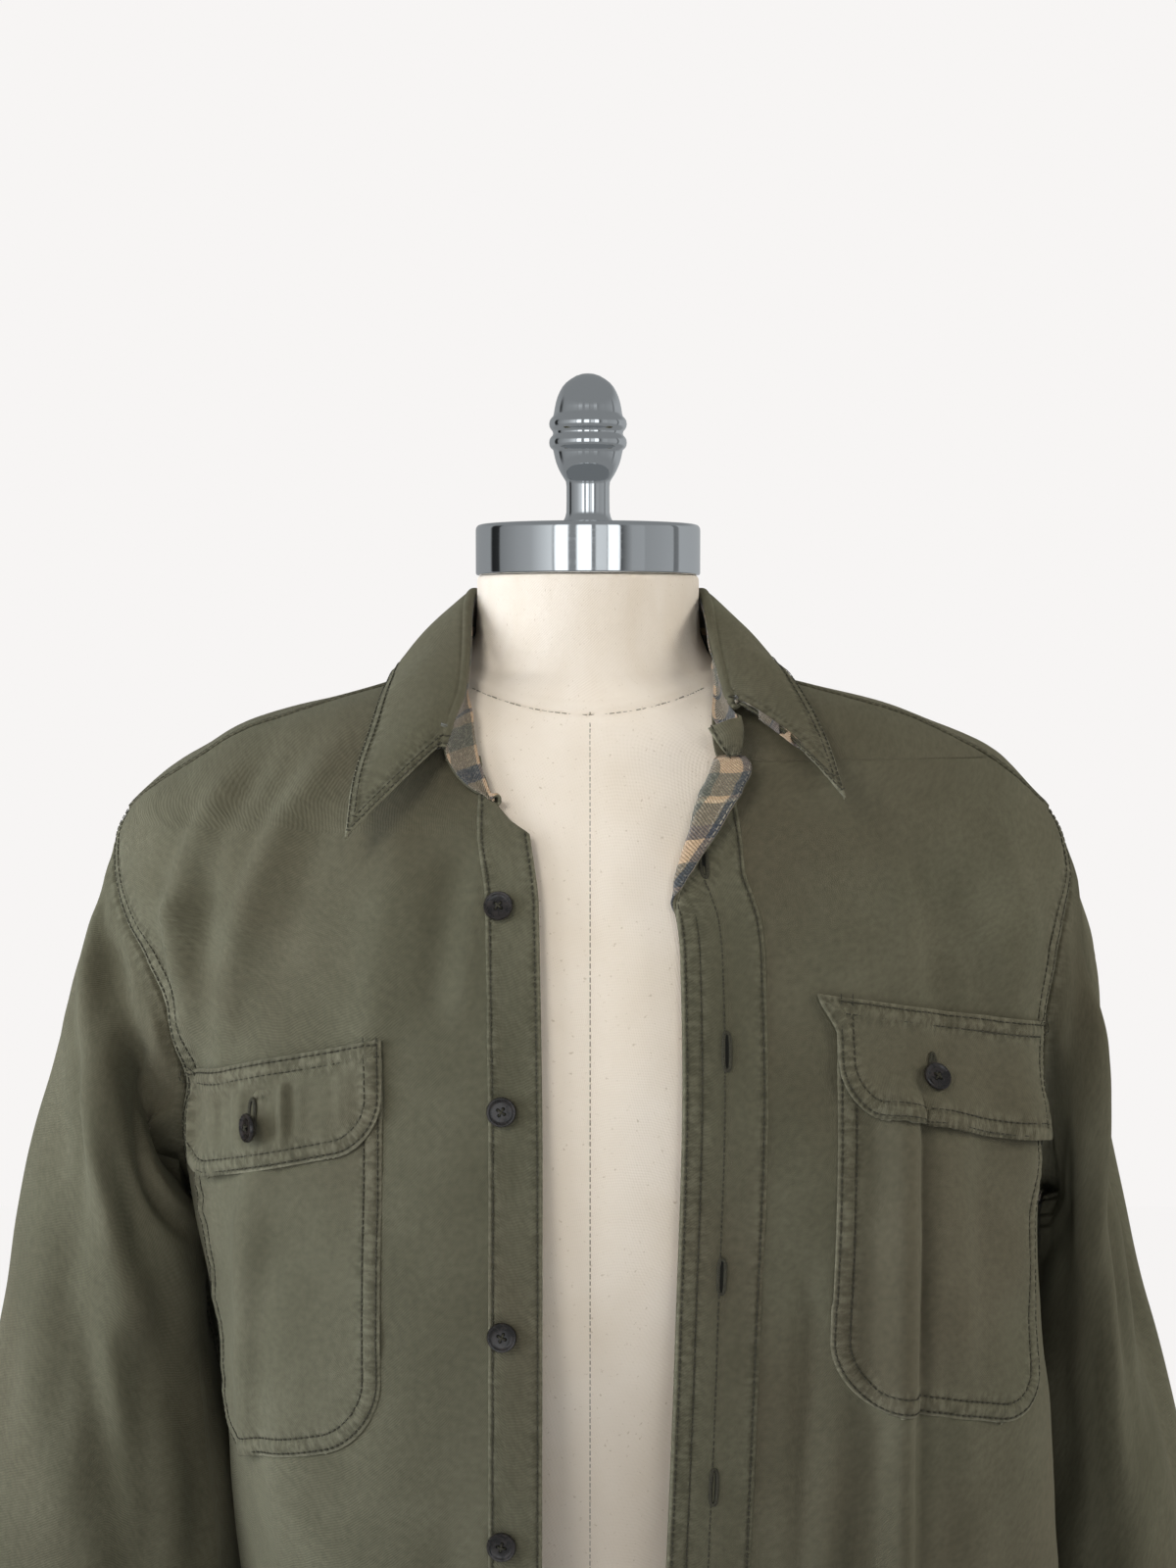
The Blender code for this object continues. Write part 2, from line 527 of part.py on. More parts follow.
def front_grid(side):
    """(runs, rings) of a front's grid, rows by columns, and the number of its pocket's middle column.

    On the shoulder the columns share out the width; from the flap down they keep to the pocket.
    """
    rings, lines = front_rings(side), front_columns(side)
    flap, top = FLAP_TOP - lift_of(side), FRONT_EDGE[side_name(side)]["ring"][0]
    band = 2
    rows = []
    for ring in rings:
        start, end = front_range(side, ring)
        fixed = np.append(start + lines, [(start + lines[-1] + end) / 2, end])
        spread = np.append(lines, lines[-1] + OUTER_COLUMNS) / (lines[-1] + OUTER_COLUMNS[-1])
        even = start + (end - start) * spread
        if ring >= top - EPS:
            from_band = (spread[band:] - spread[band]) / (1 - spread[band])
            even = np.append(fixed[:band], fixed[band] + (end - fixed[band]) * from_band)
        share = float(ease(ring, flap - COLUMNS_SETTLE, flap))
        rows.append(side * (even * (1 - share) + fixed * share))
    middle = int(np.argmin(np.abs(lines - POCKET_IN[side_name(side)] - POCKET_WIDTH / 2)))
    return np.array(rows), rings, middle


def hem_shaped(points, rings, side_share):
    """Lifts the hem's curve: the lowest rings rise towards the side seams."""
    low = ease(np.asarray(rings), HEM_CURVE_STARTS, HEM_DROP)[:, None]
    points = points.copy()
    points[..., 2] += HEM_SIDE_RISE * low * side_share ** 3
    return points


class Front:
    """One front's grid, for the front itself and for what is cut from its points and moved out."""

    def __init__(self, side, group):
        self.side, self.name, self.group = side, side_name(side), group
        self.runs, self.rings, middle = front_grid(side)
        points, self.normals = body_surface(self.runs, self.rings)
        self.distance = np.abs(self.runs) - np.abs(self.runs[:, :1])
        self.points = hem_shaped(points, self.rings, self.distance / self.distance[:, -1:])
        columns = self.runs.shape[1]
        split = middle if side > 0 else columns - 1 - middle
        self.triangles = grid_triangles(len(self.rings), columns, flip_from=split)
        rings = np.broadcast_to(self.rings[:, None], self.distance.shape)
        self.flat = self.ordered(np.dstack([self.distance, rings])).reshape(-1, 2)

    def ordered(self, grid):
        """The grid with its columns from the wearer's right to the left."""
        return grid if self.side > 0 else grid[:, ::-1]

    def patch(self, label, inside, lift, kind="twill", thickness=CLOTH):
        """The triangles whose middle is inside, moved out by lift. inside takes (across, ring)."""
        chosen = [t for t in self.triangles if inside(*self.flat[list(t)].mean(axis=0))]
        shell(label, self.ordered(self.points + self.normals * lift), kind, self.group, thickness, chosen)

    def on_pocket(self, across, ring, low, high, corner):
        """Whether a point lies on a pocket or flap whose lower corners the corner table cuts."""
        pocket = POCKET_IN[self.name]
        aside = min(across - pocket, pocket + POCKET_WIDTH - across)
        if aside < 0 or not low < ring < high:
            return False
        return high - ring > np.interp(aside, [c[0] for c in corner], [c[1] for c in corner])

    def sew_on(self, label, across, ring, lift):
        """A button on the outer face of a piece that lies lift above the front."""
        row = int(np.searchsorted(self.rings, ring)) - 1
        down = (ring - self.rings[row]) / (self.rings[row + 1] - self.rings[row])
        reach = self.distance[row] * (1 - down) + self.distance[row + 1] * down
        column = int(np.searchsorted(reach, across)) - 1
        corners = (self.points + self.normals * lift)[row:row + 2, column:column + 2]
        edge = corners[0] * (1 - down) + corners[1] * down
        along = (across - reach[column]) / (reach[column + 1] - reach[column])
        face = unit(np.cross(corners[0, 1] - corners[1, 0], corners[1, 1] - corners[0, 0]))
        face = face if (face * self.normals[row, column]).sum() > 0 else -face
        button(label, edge[0] * (1 - along) + edge[1] * along, face, CLOTH / 2, self.group)


def front(side, group):
    """One front and what is sewn on it: its band, pocket, flap, buttons and, on the left, a facing."""
    made = Front(side, group)
    made.patch(f"front_{made.name}", lambda across, ring: True, 0.0)
    first = CLOTH + LAYER
    top = FRONT_EDGE[made.name]["ring"][0]
    if side < 0:
        made.patch("button_band", lambda a, r: a < BUTTON_BAND and r > top, first)
        for i, ring in enumerate(BUTTON_RINGS):
            made.sew_on(f"button_front_{i + 1}", BUTTON_INSET, ring, first)
    else:
        made.patch("buttonhole_band", lambda a, r: a < BUTTONHOLE_BAND and r > top, first)
        made.patch("band_facing", lambda a, r: a < BUTTONHOLE_BAND and top < r < top + FACING_DEPTH,
                   -(CLOTH / 2 + LAYER + LINING / 2), "flannel", LINING)
    flap = FLAP_TOP - lift_of(side)
    mouth, bottom = flap + POCKET_TOP_GAP, POCKET_BOTTOM - lift_of(side)
    made.patch(f"pocket_{made.name}", lambda a, r: made.on_pocket(a, r, mouth, bottom, POCKET_CORNER), first)
    end = flap + FLAP_HEIGHT
    made.patch(f"flap_{made.name}", lambda a, r: made.on_pocket(a, r, flap, end, FLAP_CORNER), first * 2)
    made.sew_on(f"button_flap_{made.name}", FLAP_BUTTON[made.name], flap + FLAP_HEIGHT * FLAP_BUTTON_DOWN,
                first * 2)
    return made


def yoke_runs(ring):
    """The run where the yoke starts on the wearer's right and where it ends on the left, at a ring."""
    on_shoulder = ring <= ARMHOLE_TOP + EPS
    runs = []
    for side in (-1, 1):
        if on_shoulder:
            runs.append(seam_run(side, ring, FRONT_OUTER, side_name(side)) + side * SLANT_SEAM / 2)
        else:
            runs.append(seam_run(side, ring, BACK_OUTER, "both"))
    return runs


def back_runs(ring):
    """The same for the back, which the side seams bound below the armholes."""
    gap = SIDE_SEAM / 2 if ring >= UNDERARM - EPS else 0.0
    return [seam_run(side, ring, BACK_OUTER, "both") + side * gap for side in (-1, 1)]


def round_the_back(start, end, ring, columns):
    """Runs from the end on the wearer's left, round the back, to the start on the right."""
    run = Ring(ring).run
    whole = run[-1] - run[0]
    runs = np.linspace(end - whole, start, columns)
    return np.where(runs < run[0], runs + whole, runs)


def yoke(group):
    runs = np.array([round_the_back(*yoke_runs(r), r, YOKE_COLUMNS) for r in YOKE_RINGS])
    points, _ = body_surface(runs, np.array(YOKE_RINGS))
    shell("yoke", points, "twill", group)


def back(group):
    runs = np.array([round_the_back(*back_runs(r), r, BACK_COLUMNS) for r in BACK_RINGS])
    points, _ = body_surface(runs, np.array(BACK_RINGS))
    share = np.abs(np.linspace(-1, 1, BACK_COLUMNS))[None, :]
    shell("back", hem_shaped(points, BACK_RINGS, share), "twill", group)


# Sleeves and cuffs

def armhole(side, made):
    """The armhole's points from the underarm up the front, over the shoulder and down the back."""
    inside = [i for i, r in enumerate(made.rings) if ARMHOLE_TOP - EPS < r <= UNDERARM + EPS]
    which = (side + 1) // 2
    places = [(made.runs[i, -1], made.rings[i]) for i in reversed(inside)]
    places += [(yoke_runs(r)[which], r) for r in YOKE_RINGS if r > ARMHOLE_TOP + EPS]
    places += [(back_runs(r)[which], r) for r in BACK_RINGS[1:] if r < UNDERARM - EPS]
    points, normals = body_surface(np.array([[run] for run, _ in places]), np.array([r for _, r in places]))
    points, normals = points[:, 0], normals[:, 0]
    tangent = np.roll(points, -1, axis=0) - np.roll(points, 1, axis=0)
    away = unit(np.cross(tangent, normals))
    middle = points.mean(axis=0)
    if np.sum((points + away - middle) ** 2) > np.sum((points - away - middle) ** 2):
        away = -away
    return points, away


def sleeve_ring(rows, station, turns, side):
    """Points of a sleeve's plain ring at a station, at the given turns from the underarm line."""
    size = {name: float(at(station)) for name, at in rows.items()}
    outer = np.array([side * size["outer_x"], size["middle_y"], SHOULDER_HEIGHT - size["outer_drop"]])
    inner = np.array([side * size["inner_x"], size["middle_y"], SHOULDER_HEIGHT - size["inner_drop"]])
    angle = 2 * math.pi * (turns - 0.5)
    middle, reach = (outer + inner) / 2, (outer - inner) / 2
    forward = np.array([0, size["half_depth"], 0])
    return middle + reach * np.cos(angle)[:, None] + forward * np.sin(angle)[:, None]


def outward(grid):
    """Normals of a tube of rings, all turned away from its middle line."""
    normals = grid_normals(grid, closed=True)
    away = grid - grid.mean(axis=1, keepdims=True)
    return normals if (normals * away).sum() > 0 else -normals


def sleeve_rows(name):
    table = SLEEVES[name]
    stations = np.linspace(0, 1, len(table["outer_x"]))
    return {column: smooth_curve(stations, values) for column, values in table.items()}


def sleeve_surface(side, name, loop, turns, stations):
    """Grid of a sleeve's middle surface, one row a station, from the armhole loop to the cuff."""
    rows = sleeve_rows(name)
    start = sleeve_ring(rows, 0.0, turns, side)
    grid = []
    for station in stations:
        hold = 1 - float(ease(station, 0.0, SLEEVE_EASES))
        grid.append(sleeve_ring(rows, station, turns, side) + (loop - start) * hold)
    grid = np.array(grid)
    normals = outward(grid)
    folds = SLEEVE_FOLDS[name]
    metres = dict(folds)
    for end in ("_0", "_1"):
        metres["run" + end] = [turn * SLEEVE_ROUND for turn in folds["turn" + end]]
        metres["ring" + end] = [length * SLEEVE_LONG for length in folds["length" + end]]
    height = fold_height(metres, turns[None, :] * SLEEVE_ROUND, np.asarray(stations)[:, None] * SLEEVE_LONG)
    free = ease(stations, *SLEEVE_FOLDS_GROW) * (1 - ease(stations, *SLEEVE_FOLDS_END))
    height = height * free[:, None]
    return grid + normals * height[..., None]


def loop_turns(loop):
    """Each armhole point's share of the turn, by the distance along the loop."""
    length = np.concatenate([[0], np.cumsum(np.linalg.norm(np.diff(loop, axis=0), axis=1))])
    whole = length[-1] + np.linalg.norm(loop[0] - loop[-1])
    return length / whole


def sleeve(side, made, group):
    points, away = armhole(side, made)
    lowest = points[:, 2].min()
    low = 1 - ease(points[:, 2], lowest, lowest + UNDERARM_REACH)
    loop = points + away * (ARMHOLE_SEAM + UNDERARM_SEAM * low)[:, None]
    turns = loop_turns(loop)
    grid = sleeve_surface(side, made.name, loop, turns, SLEEVE_STATIONS)
    shell(f"sleeve_{made.name}", grid if side < 0 else grid[:, ::-1], "twill", group, closed=True)
    cuff(side, made.name, turns, group)


def cuff(side, name, turns, group):
    """The cuff carries on from the sleeve's end, leaning with the arm and narrowing to the wrist."""
    end = sleeve_ring(sleeve_rows(name), 1.0, turns, side)
    middle = end.mean(axis=0)
    lean = np.array([side * CUFF_LEAN[0], CUFF_LEAN[1], -CUFF_HEIGHT])
    gap = np.array([0, 0, CLOTH / 2 + SEAM])
    rings = np.array([middle + (end - middle) * scale + lean * share - gap for share, scale in CUFF_ROWS])
    shell(f"cuff_{name}", rings if side < 0 else rings[:, ::-1], "twill", group, CUFF_CLOTH, closed=True)
    column = int(np.argmin(np.abs(turns - CUFF_BUTTON_TURN)))
    place = rings[:, column:column + 2].mean(axis=(0, 1))
    normal = outward(rings)[1, column:column + 2].mean(axis=0)
    button(f"button_cuff_{name}", place, unit(normal), CUFF_CLOTH / 2, group)


# Collar

def neckline_point(row):
    """A point just over the neckline, where the collar stand starts."""
    ring, turn = COLLAR["neck_ring"][row], COLLAR["neck_turn"][row]
    if ring is None:
        ring, run = 0.0, Ring(0.0).run_at_turn(turn)
    else:
        side = -1 if row < len(COLLAR["neck_ring"]) // 2 else 1
        run = side * edge_run(side, ring)
    points, normals = body_surface(np.array([[run]]), np.array([ring]))
    return points[0, 0] + normals[0, 0] * (CLOTH + LAYER * 2)


def rail(places, points):
    """A smooth line through the points, as a function of the place along the collar."""
    curves = [smooth_curve(places, np.asarray(points)[:, k]) for k in range(3)]
    return lambda t: np.stack([curve(np.asarray(t, float)) for curve in curves], axis=-1)


def collar_rail(line, rows):
    """The collar's fold or the leaf's edge, through those rows of the table."""
    table = zip(*(COLLAR[f"{line}_{column}"] for column in ("x", "y", "drop")))
    points = [(x, y, SHOULDER_HEIGHT - drop) for x, y, drop in (row for row in table if row[0] is not None)]
    return rail(rows, points)


def between(low, high, shares):
    """Rows of points from one line to another."""
    shares = np.array(shares)[:, None, None]
    return low[None] * (1 - shares) + high[None] * shares


def collar(group):
    """The collar stand and its flannel side, and the leaf that turns down over it."""
    rows = np.arange(len(COLLAR["fold_x"]), dtype=float)
    neck = rail(rows, [neckline_point(i) for i in range(len(rows))])
    fold = collar_rail("fold", rows)
    place = np.linspace(rows[0], rows[-1], STAND_COLUMNS)
    stand_grid = between(neck(place), fold(place), STAND_ROWS)
    shell("collar_stand", stand_grid, "twill", group)
    lining = between(neck(place), fold(place), LINING_ROWS)
    normals = grid_normals(lining)
    facing = np.sign((normals * lining * np.array([1, 1, 0])).sum())
    lining = lining - normals * facing * (CLOTH / 2 + LAYER + LINING / 2)
    shell("collar_stand_lining", lining[:, 1:-1], "flannel", group, LINING)

    with_leaf = [i for i in range(len(rows)) if COLLAR["edge_x"][i] is not None]
    place = np.linspace(with_leaf[0], with_leaf[-1], LEAF_COLUMNS)
    out = unit(fold(place) * np.array([1, 1, 0]))
    edge = collar_rail("edge", np.array(with_leaf, float))
    leaf = between(fold(place) + out * LEAF_LIFT, edge(place), LEAF_ROWS)
    bulge = LEAF_BULGE * np.sin(np.pi * np.array(LEAF_ROWS))[:, None, None]
    shell("collar_leaf", leaf + out[None] * bulge, "twill", group)


# Buttons

def button(name, place, normal, wall, group):
    """A dished button with a raised rim, standing just clear of the cloth that it is sewn to."""
    inner = BUTTON_RADIUS - BUTTON_RIM
    dish = BUTTON_THICKNESS - BUTTON_DISH
    profile = ((0.0, 0.0), (BUTTON_RADIUS * 0.75, 0.0), (BUTTON_RADIUS, BUTTON_THICKNESS * 0.45),
               (BUTTON_RADIUS * 0.96, BUTTON_THICKNESS), (inner, BUTTON_THICKNESS - BUTTON_DISH * 0.4),
               (inner * 0.8, dish), (0.0, dish))
    seat = Vector(place) + Vector(normal) * (wall + LAYER)
    made = turned(name, profile, "horn", group, BUTTON_SIDES, seat)
    made.rotation_mode = "QUATERNION"
    made.rotation_quaternion = Vector((0, 0, 1)).rotation_difference(Vector(normal))


# The dress form and its stand

def torso(group):
    """The form's body and neck: level rings, lofted, closed at the top and the bottom."""
    at = {name: smooth_curve(TORSO["drop"], values) for name, values in TORSO.items()}
    turns = np.linspace(-1, 1, TORSO_SIDES + 1)[:-1]
    mesh = bmesh.new()
    rings = []
    for drop in TORSO["drop"]:
        wide = float(at["half_width"](drop))
        x, y = superellipse(turns, wide, wide, 0.0, 0.0, float(at["front"](drop)), float(at["back"](drop)),
                            float(at["squareness"](drop)))
        rings.append([mesh.verts.new((a, b, SHOULDER_HEIGHT - drop)) for a, b in zip(x, y)])
    for upper, lower in zip(rings, rings[1:]):
        for j in range(TORSO_SIDES):
            k = (j + 1) % TORSO_SIDES
            mesh.faces.new((upper[j], lower[j], lower[k], upper[k]))
    mesh.faces.new(rings[0])
    mesh.faces.new(reversed(rings[-1]))
    bmesh.ops.recalc_face_normals(mesh, faces=mesh.faces)
    data = bpy.data.meshes.new("form_torso")
    mesh.to_mesh(data)
    mesh.free()
    made = add_object("form_torso", data, "canvas", group)
    made.data.shade_smooth()


def stand(group):
    """Neck cap and finial above the torso, pole and round base below it."""
    cap_low = SHOULDER_HEIGHT + CAP_BOTTOM + JOIN
    cap = ((0, 0), (CAP_RADIUS, 0), (CAP_RADIUS, CAP_HEIGHT - CAP_RIM),
           (CAP_RADIUS - CAP_RIM * .3, CAP_HEIGHT - CAP_RIM * .3), (CAP_RADIUS - CAP_RIM, CAP_HEIGHT),
           (0, CAP_HEIGHT))
    turned("neck_cap", cap, "chrome", group, CAP_SIDES, (0, 0, cap_low))
    turned("finial", FINIAL, "chrome", group, POLE_SIDES, (0, 0, cap_low + CAP_HEIGHT + JOIN))
    low, high = BASE_HEIGHT + JOIN, SHOULDER_HEIGHT - TORSO_BOTTOM - JOIN
    pole = ((0, low), (POLE_RADIUS, low), (POLE_RADIUS, high - FLANGE_HEIGHT),
            (FLANGE_RADIUS, high - FLANGE_HEIGHT), (FLANGE_RADIUS, high), (0, high))
    turned("stand_pole", pole, "chrome", group, POLE_SIDES)
    base = ((0, 0), (BASE_RADIUS, 0), (BASE_RADIUS, BASE_EDGE), (BASE_RADIUS - BASE_EDGE, BASE_EDGE * 1.7),
            (BASE_RADIUS * .55, BASE_HEIGHT * .75), (POLE_RADIUS * 2, BASE_HEIGHT), (0, BASE_HEIGHT))
    turned("stand_base", base, "chrome", group, BASE_SIDES)


def main():
    for old in list(bpy.data.objects):
        bpy.data.objects.remove(old)
    group = collection("shirt_jacket_on_form")
    torso(group)
    stand(group)
    yoke(group)
    back(group)
    for side in (-1, 1):
        sleeve(side, front(side, group), group)
    collar(group)


main()
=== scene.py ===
# A shirt jacket, worn open on a limbless dress form. Metres, +Z up, the front faces -Y.
# Right and left are the wearer's, so the wearer's right is at -X. A drop is a distance below the
# shirt's high point beside the neck. side is -1 for the wearer's right and 1 for the left.
import math

import bmesh
import bpy
import numpy as np
from mathutils import Matrix, Vector


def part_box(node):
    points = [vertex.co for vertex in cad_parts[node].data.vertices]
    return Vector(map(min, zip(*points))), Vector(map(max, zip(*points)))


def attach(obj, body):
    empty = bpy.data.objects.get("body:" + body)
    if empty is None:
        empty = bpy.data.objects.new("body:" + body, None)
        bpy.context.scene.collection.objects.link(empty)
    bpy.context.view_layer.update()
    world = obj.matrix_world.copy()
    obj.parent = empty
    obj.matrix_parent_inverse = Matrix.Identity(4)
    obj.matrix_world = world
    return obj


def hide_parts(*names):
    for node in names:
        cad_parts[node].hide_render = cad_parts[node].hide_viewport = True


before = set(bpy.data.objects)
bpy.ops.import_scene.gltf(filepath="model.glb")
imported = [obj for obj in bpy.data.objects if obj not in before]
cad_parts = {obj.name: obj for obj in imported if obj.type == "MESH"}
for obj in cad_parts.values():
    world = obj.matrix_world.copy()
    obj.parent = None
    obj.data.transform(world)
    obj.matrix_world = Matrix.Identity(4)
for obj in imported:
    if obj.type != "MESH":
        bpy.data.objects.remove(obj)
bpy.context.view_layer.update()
bpy.context.scene.view_settings.view_transform = "Standard"

high = 1.000  # height of the shirt's high point
mm = 0.001


# numbers and curves

def smoothCurve(xs, ys):
    xs, ys = np.asarray(xs, float), np.asarray(ys, float)
    step = np.diff(xs)
    slope = np.diff(ys) / step
    tangent = np.zeros_like(ys)
    same = slope[:-1] * slope[1:] > 0
    tangent[1:-1][same] = (2 * slope[:-1] * slope[1:])[same] / (slope[:-1] + slope[1:])[same]
    tangent[0], tangent[-1] = slope[0], slope[-1]

    def at(x):
        x = np.clip(x, xs[0], xs[-1])
        i = np.clip(np.searchsorted(xs, x) - 1, 0, len(step) - 1)
        t, h = (x - xs[i]) / step[i], step[i]
        return (ys[i] * (1 + 2 * t) * (1 - t) ** 2 + tangent[i] * h * t * (1 - t) ** 2
                + ys[i + 1] * t * t * (3 - 2 * t) + tangent[i + 1] * h * t * t * (t - 1))

    return at


def ease(x, low, high_):
    t = np.clip((np.asarray(x, float) - low) / (high_ - low), 0, 1)
    return t * t * (3 - 2 * t)


def unit(vectors):
    return vectors / np.maximum(np.linalg.norm(vectors, axis=-1, keepdims=True), 1e-12)


def hump(x, middle, width):
    return np.exp(-((x - middle) / width) ** 2)


def softNoise(u, v, cell, seed):
    # smooth random heights from -1 to 1 on cells of that size; cell may be (across, along)
    cu, cv = cell if isinstance(cell, tuple) else (cell, cell)
    lattice = np.random.default_rng(seed).uniform(-1, 1, (67, 61))
    a, b = np.asarray(u, float) / cu + 500.3, np.asarray(v, float) / cv + 300.7
    i, j = np.floor(a).astype(int), np.floor(b).astype(int)
    s, t = a - i, b - j
    s, t = s * s * (3 - 2 * s), t * t * (3 - 2 * t)
    row, nextRow, col, nextCol = i % 67, (i + 1) % 67, j % 61, (j + 1) % 61
    low = lattice[row, col] * (1 - s) + lattice[nextRow, col] * s
    top = lattice[row, nextCol] * (1 - s) + lattice[nextRow, nextCol] * s
    return low * (1 - t) + top * t


class Cloth:
    # A surface sampled on a grid of points[v][u]; places on it are found between the samples.
    def __init__(self, us, vs, points, outside=None):
        self.us, self.vs, self.points = np.asarray(us, float), np.asarray(vs, float), points
        self.du = np.gradient(points, self.us, axis=1)
        self.dv = np.gradient(points, self.vs, axis=0)
        self.normals = unit(np.cross(self.du, -self.dv))
        if outside is not None and ((points - outside(points)) * self.normals).sum() < 0:
            self.normals = -self.normals

    def mixed(self, table, u, v):
        u, v = np.broadcast_arrays(np.asarray(u, float), np.asarray(v, float))
        a = np.interp(u, self.us, np.arange(len(self.us)))
        b = np.interp(v, self.vs, np.arange(len(self.vs)))
        i, j = np.floor(a).astype(int), np.floor(b).astype(int)
        total = 0.0
        for di, wi in enumerate(self.weights(a - i)):
            ii = np.clip(i + di - 1, 0, len(self.us) - 1)
            for dj, wj in enumerate(self.weights(b - j)):
                jj = np.clip(j + dj - 1, 0, len(self.vs) - 1)
                total = total + (wi * wj)[..., None] * table[jj, ii]
        return total

    def weights(self, t):
        return (-.5 * t ** 3 + t * t - .5 * t, 1.5 * t ** 3 - 2.5 * t * t + 1,
                -1.5 * t ** 3 + 2 * t * t + .5 * t, .5 * t ** 3 - .5 * t * t)

    def normal(self, u, v):
        return unit(self.mixed(self.normals, u, v))

    def at(self, u, v, lift=0.0):
        lift = np.asarray(lift, float)
        return self.mixed(self.points, u, v) + self.normal(u, v) * lift[..., None]

    def aside(self, u, v, distance, steps=3):
        # the line (u, v) moved sideways over the surface by that distance, to its left as seen from outside
        u, v = np.array(u, float), np.array(v, float)
        for _ in range(steps):
            p, n = self.at(u, v), self.normal(u, v)
            away = unit(np.cross(n, np.gradient(p, axis=0))) * distance / steps
            du, dv = self.mixed(self.du, u, v), self.mixed(self.dv, u, v)
            a, b, c = (du * du).sum(-1), (du * dv).sum(-1), (dv * dv).sum(-1)
            e, f = (away * du).sum(-1), (away * dv).sum(-1)
            det = np.maximum(a * c - b * b, 1e-12)
            u, v = u + (e * c - f * b) / det, v + (f * a - e * b) / det
        return u, v


# the shirt's body, ring by ring

body = {
    "ring": (.000, .009, .020, .030, .041, .052, .063, .072, .085, .100, .120, .140, .166, .200,
             .235, .270, .320, .360, .430, .520, .620, .735),
    "rightX": (.078, .107, .150, .179, .198, .2135, .2260, .2335, .2400, .2425, .2390, .2280,
               .2130, .2025, .1960, .1885, .1815, .1760, .1690, .1660, .1720, .1820),
    "leftX": (.080, .114, .156, .184, .205, .2175, .2275, .2345, .2420, .2475, .2460, .2380,
              .2300, .2250, .2225, .2235, .2285, .2310, .2345, .2360, .2360, .2380),
    "rightY": (.000, .000, .000, .000, .000, .000, .000, .000, .000, .000, -.003, -.006, -.010,
               -.014, -.018, -.020, -.020, -.020, -.020, -.018, -.014, -.010),
    "leftY": (.000, .000, .000, .000, .000, .000, .000, .000, .000, .000, -.006, -.012, -.022,
              -.034, -.042, -.046, -.048, -.048, -.046, -.040, -.034, -.030),
    "front": (.060, .0625, .068, .074, .081, .0875, .0940, .0990, .1055, .1120, .1190, .1250,
              .1310, .1360, .1385, .1390, .1385, .1375, .1360, .1350, .1350, .1370),
    "back": (.066, .072, .080, .086, .092, .0965, .1005, .1035, .1075, .1105, .1135, .1155,
             .1175, .1185, .1185, .1170, .1150, .1140, .1140, .1160, .1190, .1230),
    "squareness": (2.00, 2.00, 2.00, 2.00, 2.00, 2.00, 2.00, 2.00, 2.00, 2.05, 2.10, 2.15, 2.20, 2.25,
                   2.30, 2.30, 2.30, 2.30, 2.25, 2.20, 2.20, 2.20),
    "sag": .044, "sagFrom": .080, "sagFull": .160, "sagPower": 1.4,
    "hem": .735, "hemRise": .035, "hemCurveFrom": .50,
    "underarm": .220, "armholeTop": .072, "yokeSeam": .112, "hitch": .0185,
}
bodyAt = {name: smoothCurve(body["ring"], values) for name, values in body.items()
          if isinstance(values, tuple)}

frontEdge = {
    -1: ((.077, .110, .235, .450, .735), (.0275, .0230, .0210, .0215, .0235)),
    1: ((.0445, .054, .062, .070, .078, .0865, .095, .103, .115, .130, .180, .310, .460, .735),
        (.0385, .0345, .0305, .0315, .0327, .0335, .0342, .0375, .0415, .0430, .0437, .0405, .0352, .0300)),
}
neckline = {
    -1: ((.000, .010, .020, .032, .046, .062, .071, .077),
         (.0660, .0595, .0565, .0545, .0512, .0445, .0365, .0275)),
    1: ((.000, .010, .020, .030, .038, .0438, .0445), (.0660, .0615, .0602, .0600, .0608, .0625, .0385)),
}
frontSeam = {  # y of the shoulder seam and of the armhole's front half
    "ring": (.000, .009, .020, .030, .041, .052, .063, .072, .085, .098, .110, .121, .137, .160, .190, .220),
    -1: (-.014, -.018, -.022, -.023, -.022, -.020, -.014, -.006, -.013, -.025, -.040, -.055, -.064,
         -.061, -.044, None),
    1: (-.014, -.018, -.022, -.023, -.022, -.020, -.014, -.006, -.013, -.025, -.039, -.049, -.055,
        -.056, -.048, None),
}
backSeam = {
    "ring": (.072, .078, .088, .099, .112, .125, .146, .170, .195, .220),
    -1: (-.006, .006, .022, .036, .049, .057, .063, .060, .040, None),
    1: (-.006, .006, .022, .036, .049, .057, .063, .060, .040, None),
}

# the largest folds: (run, ring) to (run, ring), bow sideways, half width, height
bodyFolds = (
    (-.190, .085, -.218, .175, .006, .013, -.0060), (-.215, .100, -.205, .150, .004, .010, .0045),
    (-.140, .060, -.215, .150, .008, .012, .0040), (-.165, .130, -.150, .400, .006, .022, .0050),
    (.128, .330, .108, .735, .004, .013, -.0070), (.165, .205, .158, .735, .006, .017, -.0090),
    (-.060, .075, -.075, .155, .004, .012, -.0035), (.215, .105, .225, .215, -.004, .014, .0060),
    (-.100, .190, -.130, .640, .010, .040, .0060), (.060, .200, .075, .700, .012, .040, -.0060),
    (-.310, .300, -.330, .735, .006, .028, -.0040), (.330, .300, .350, .735, .006, .028, -.0100),
    (.175, .080, .168, .160, .004, .010, -.0035), (-.235, .300, -.255, .735, .008, .026, .0070),
)


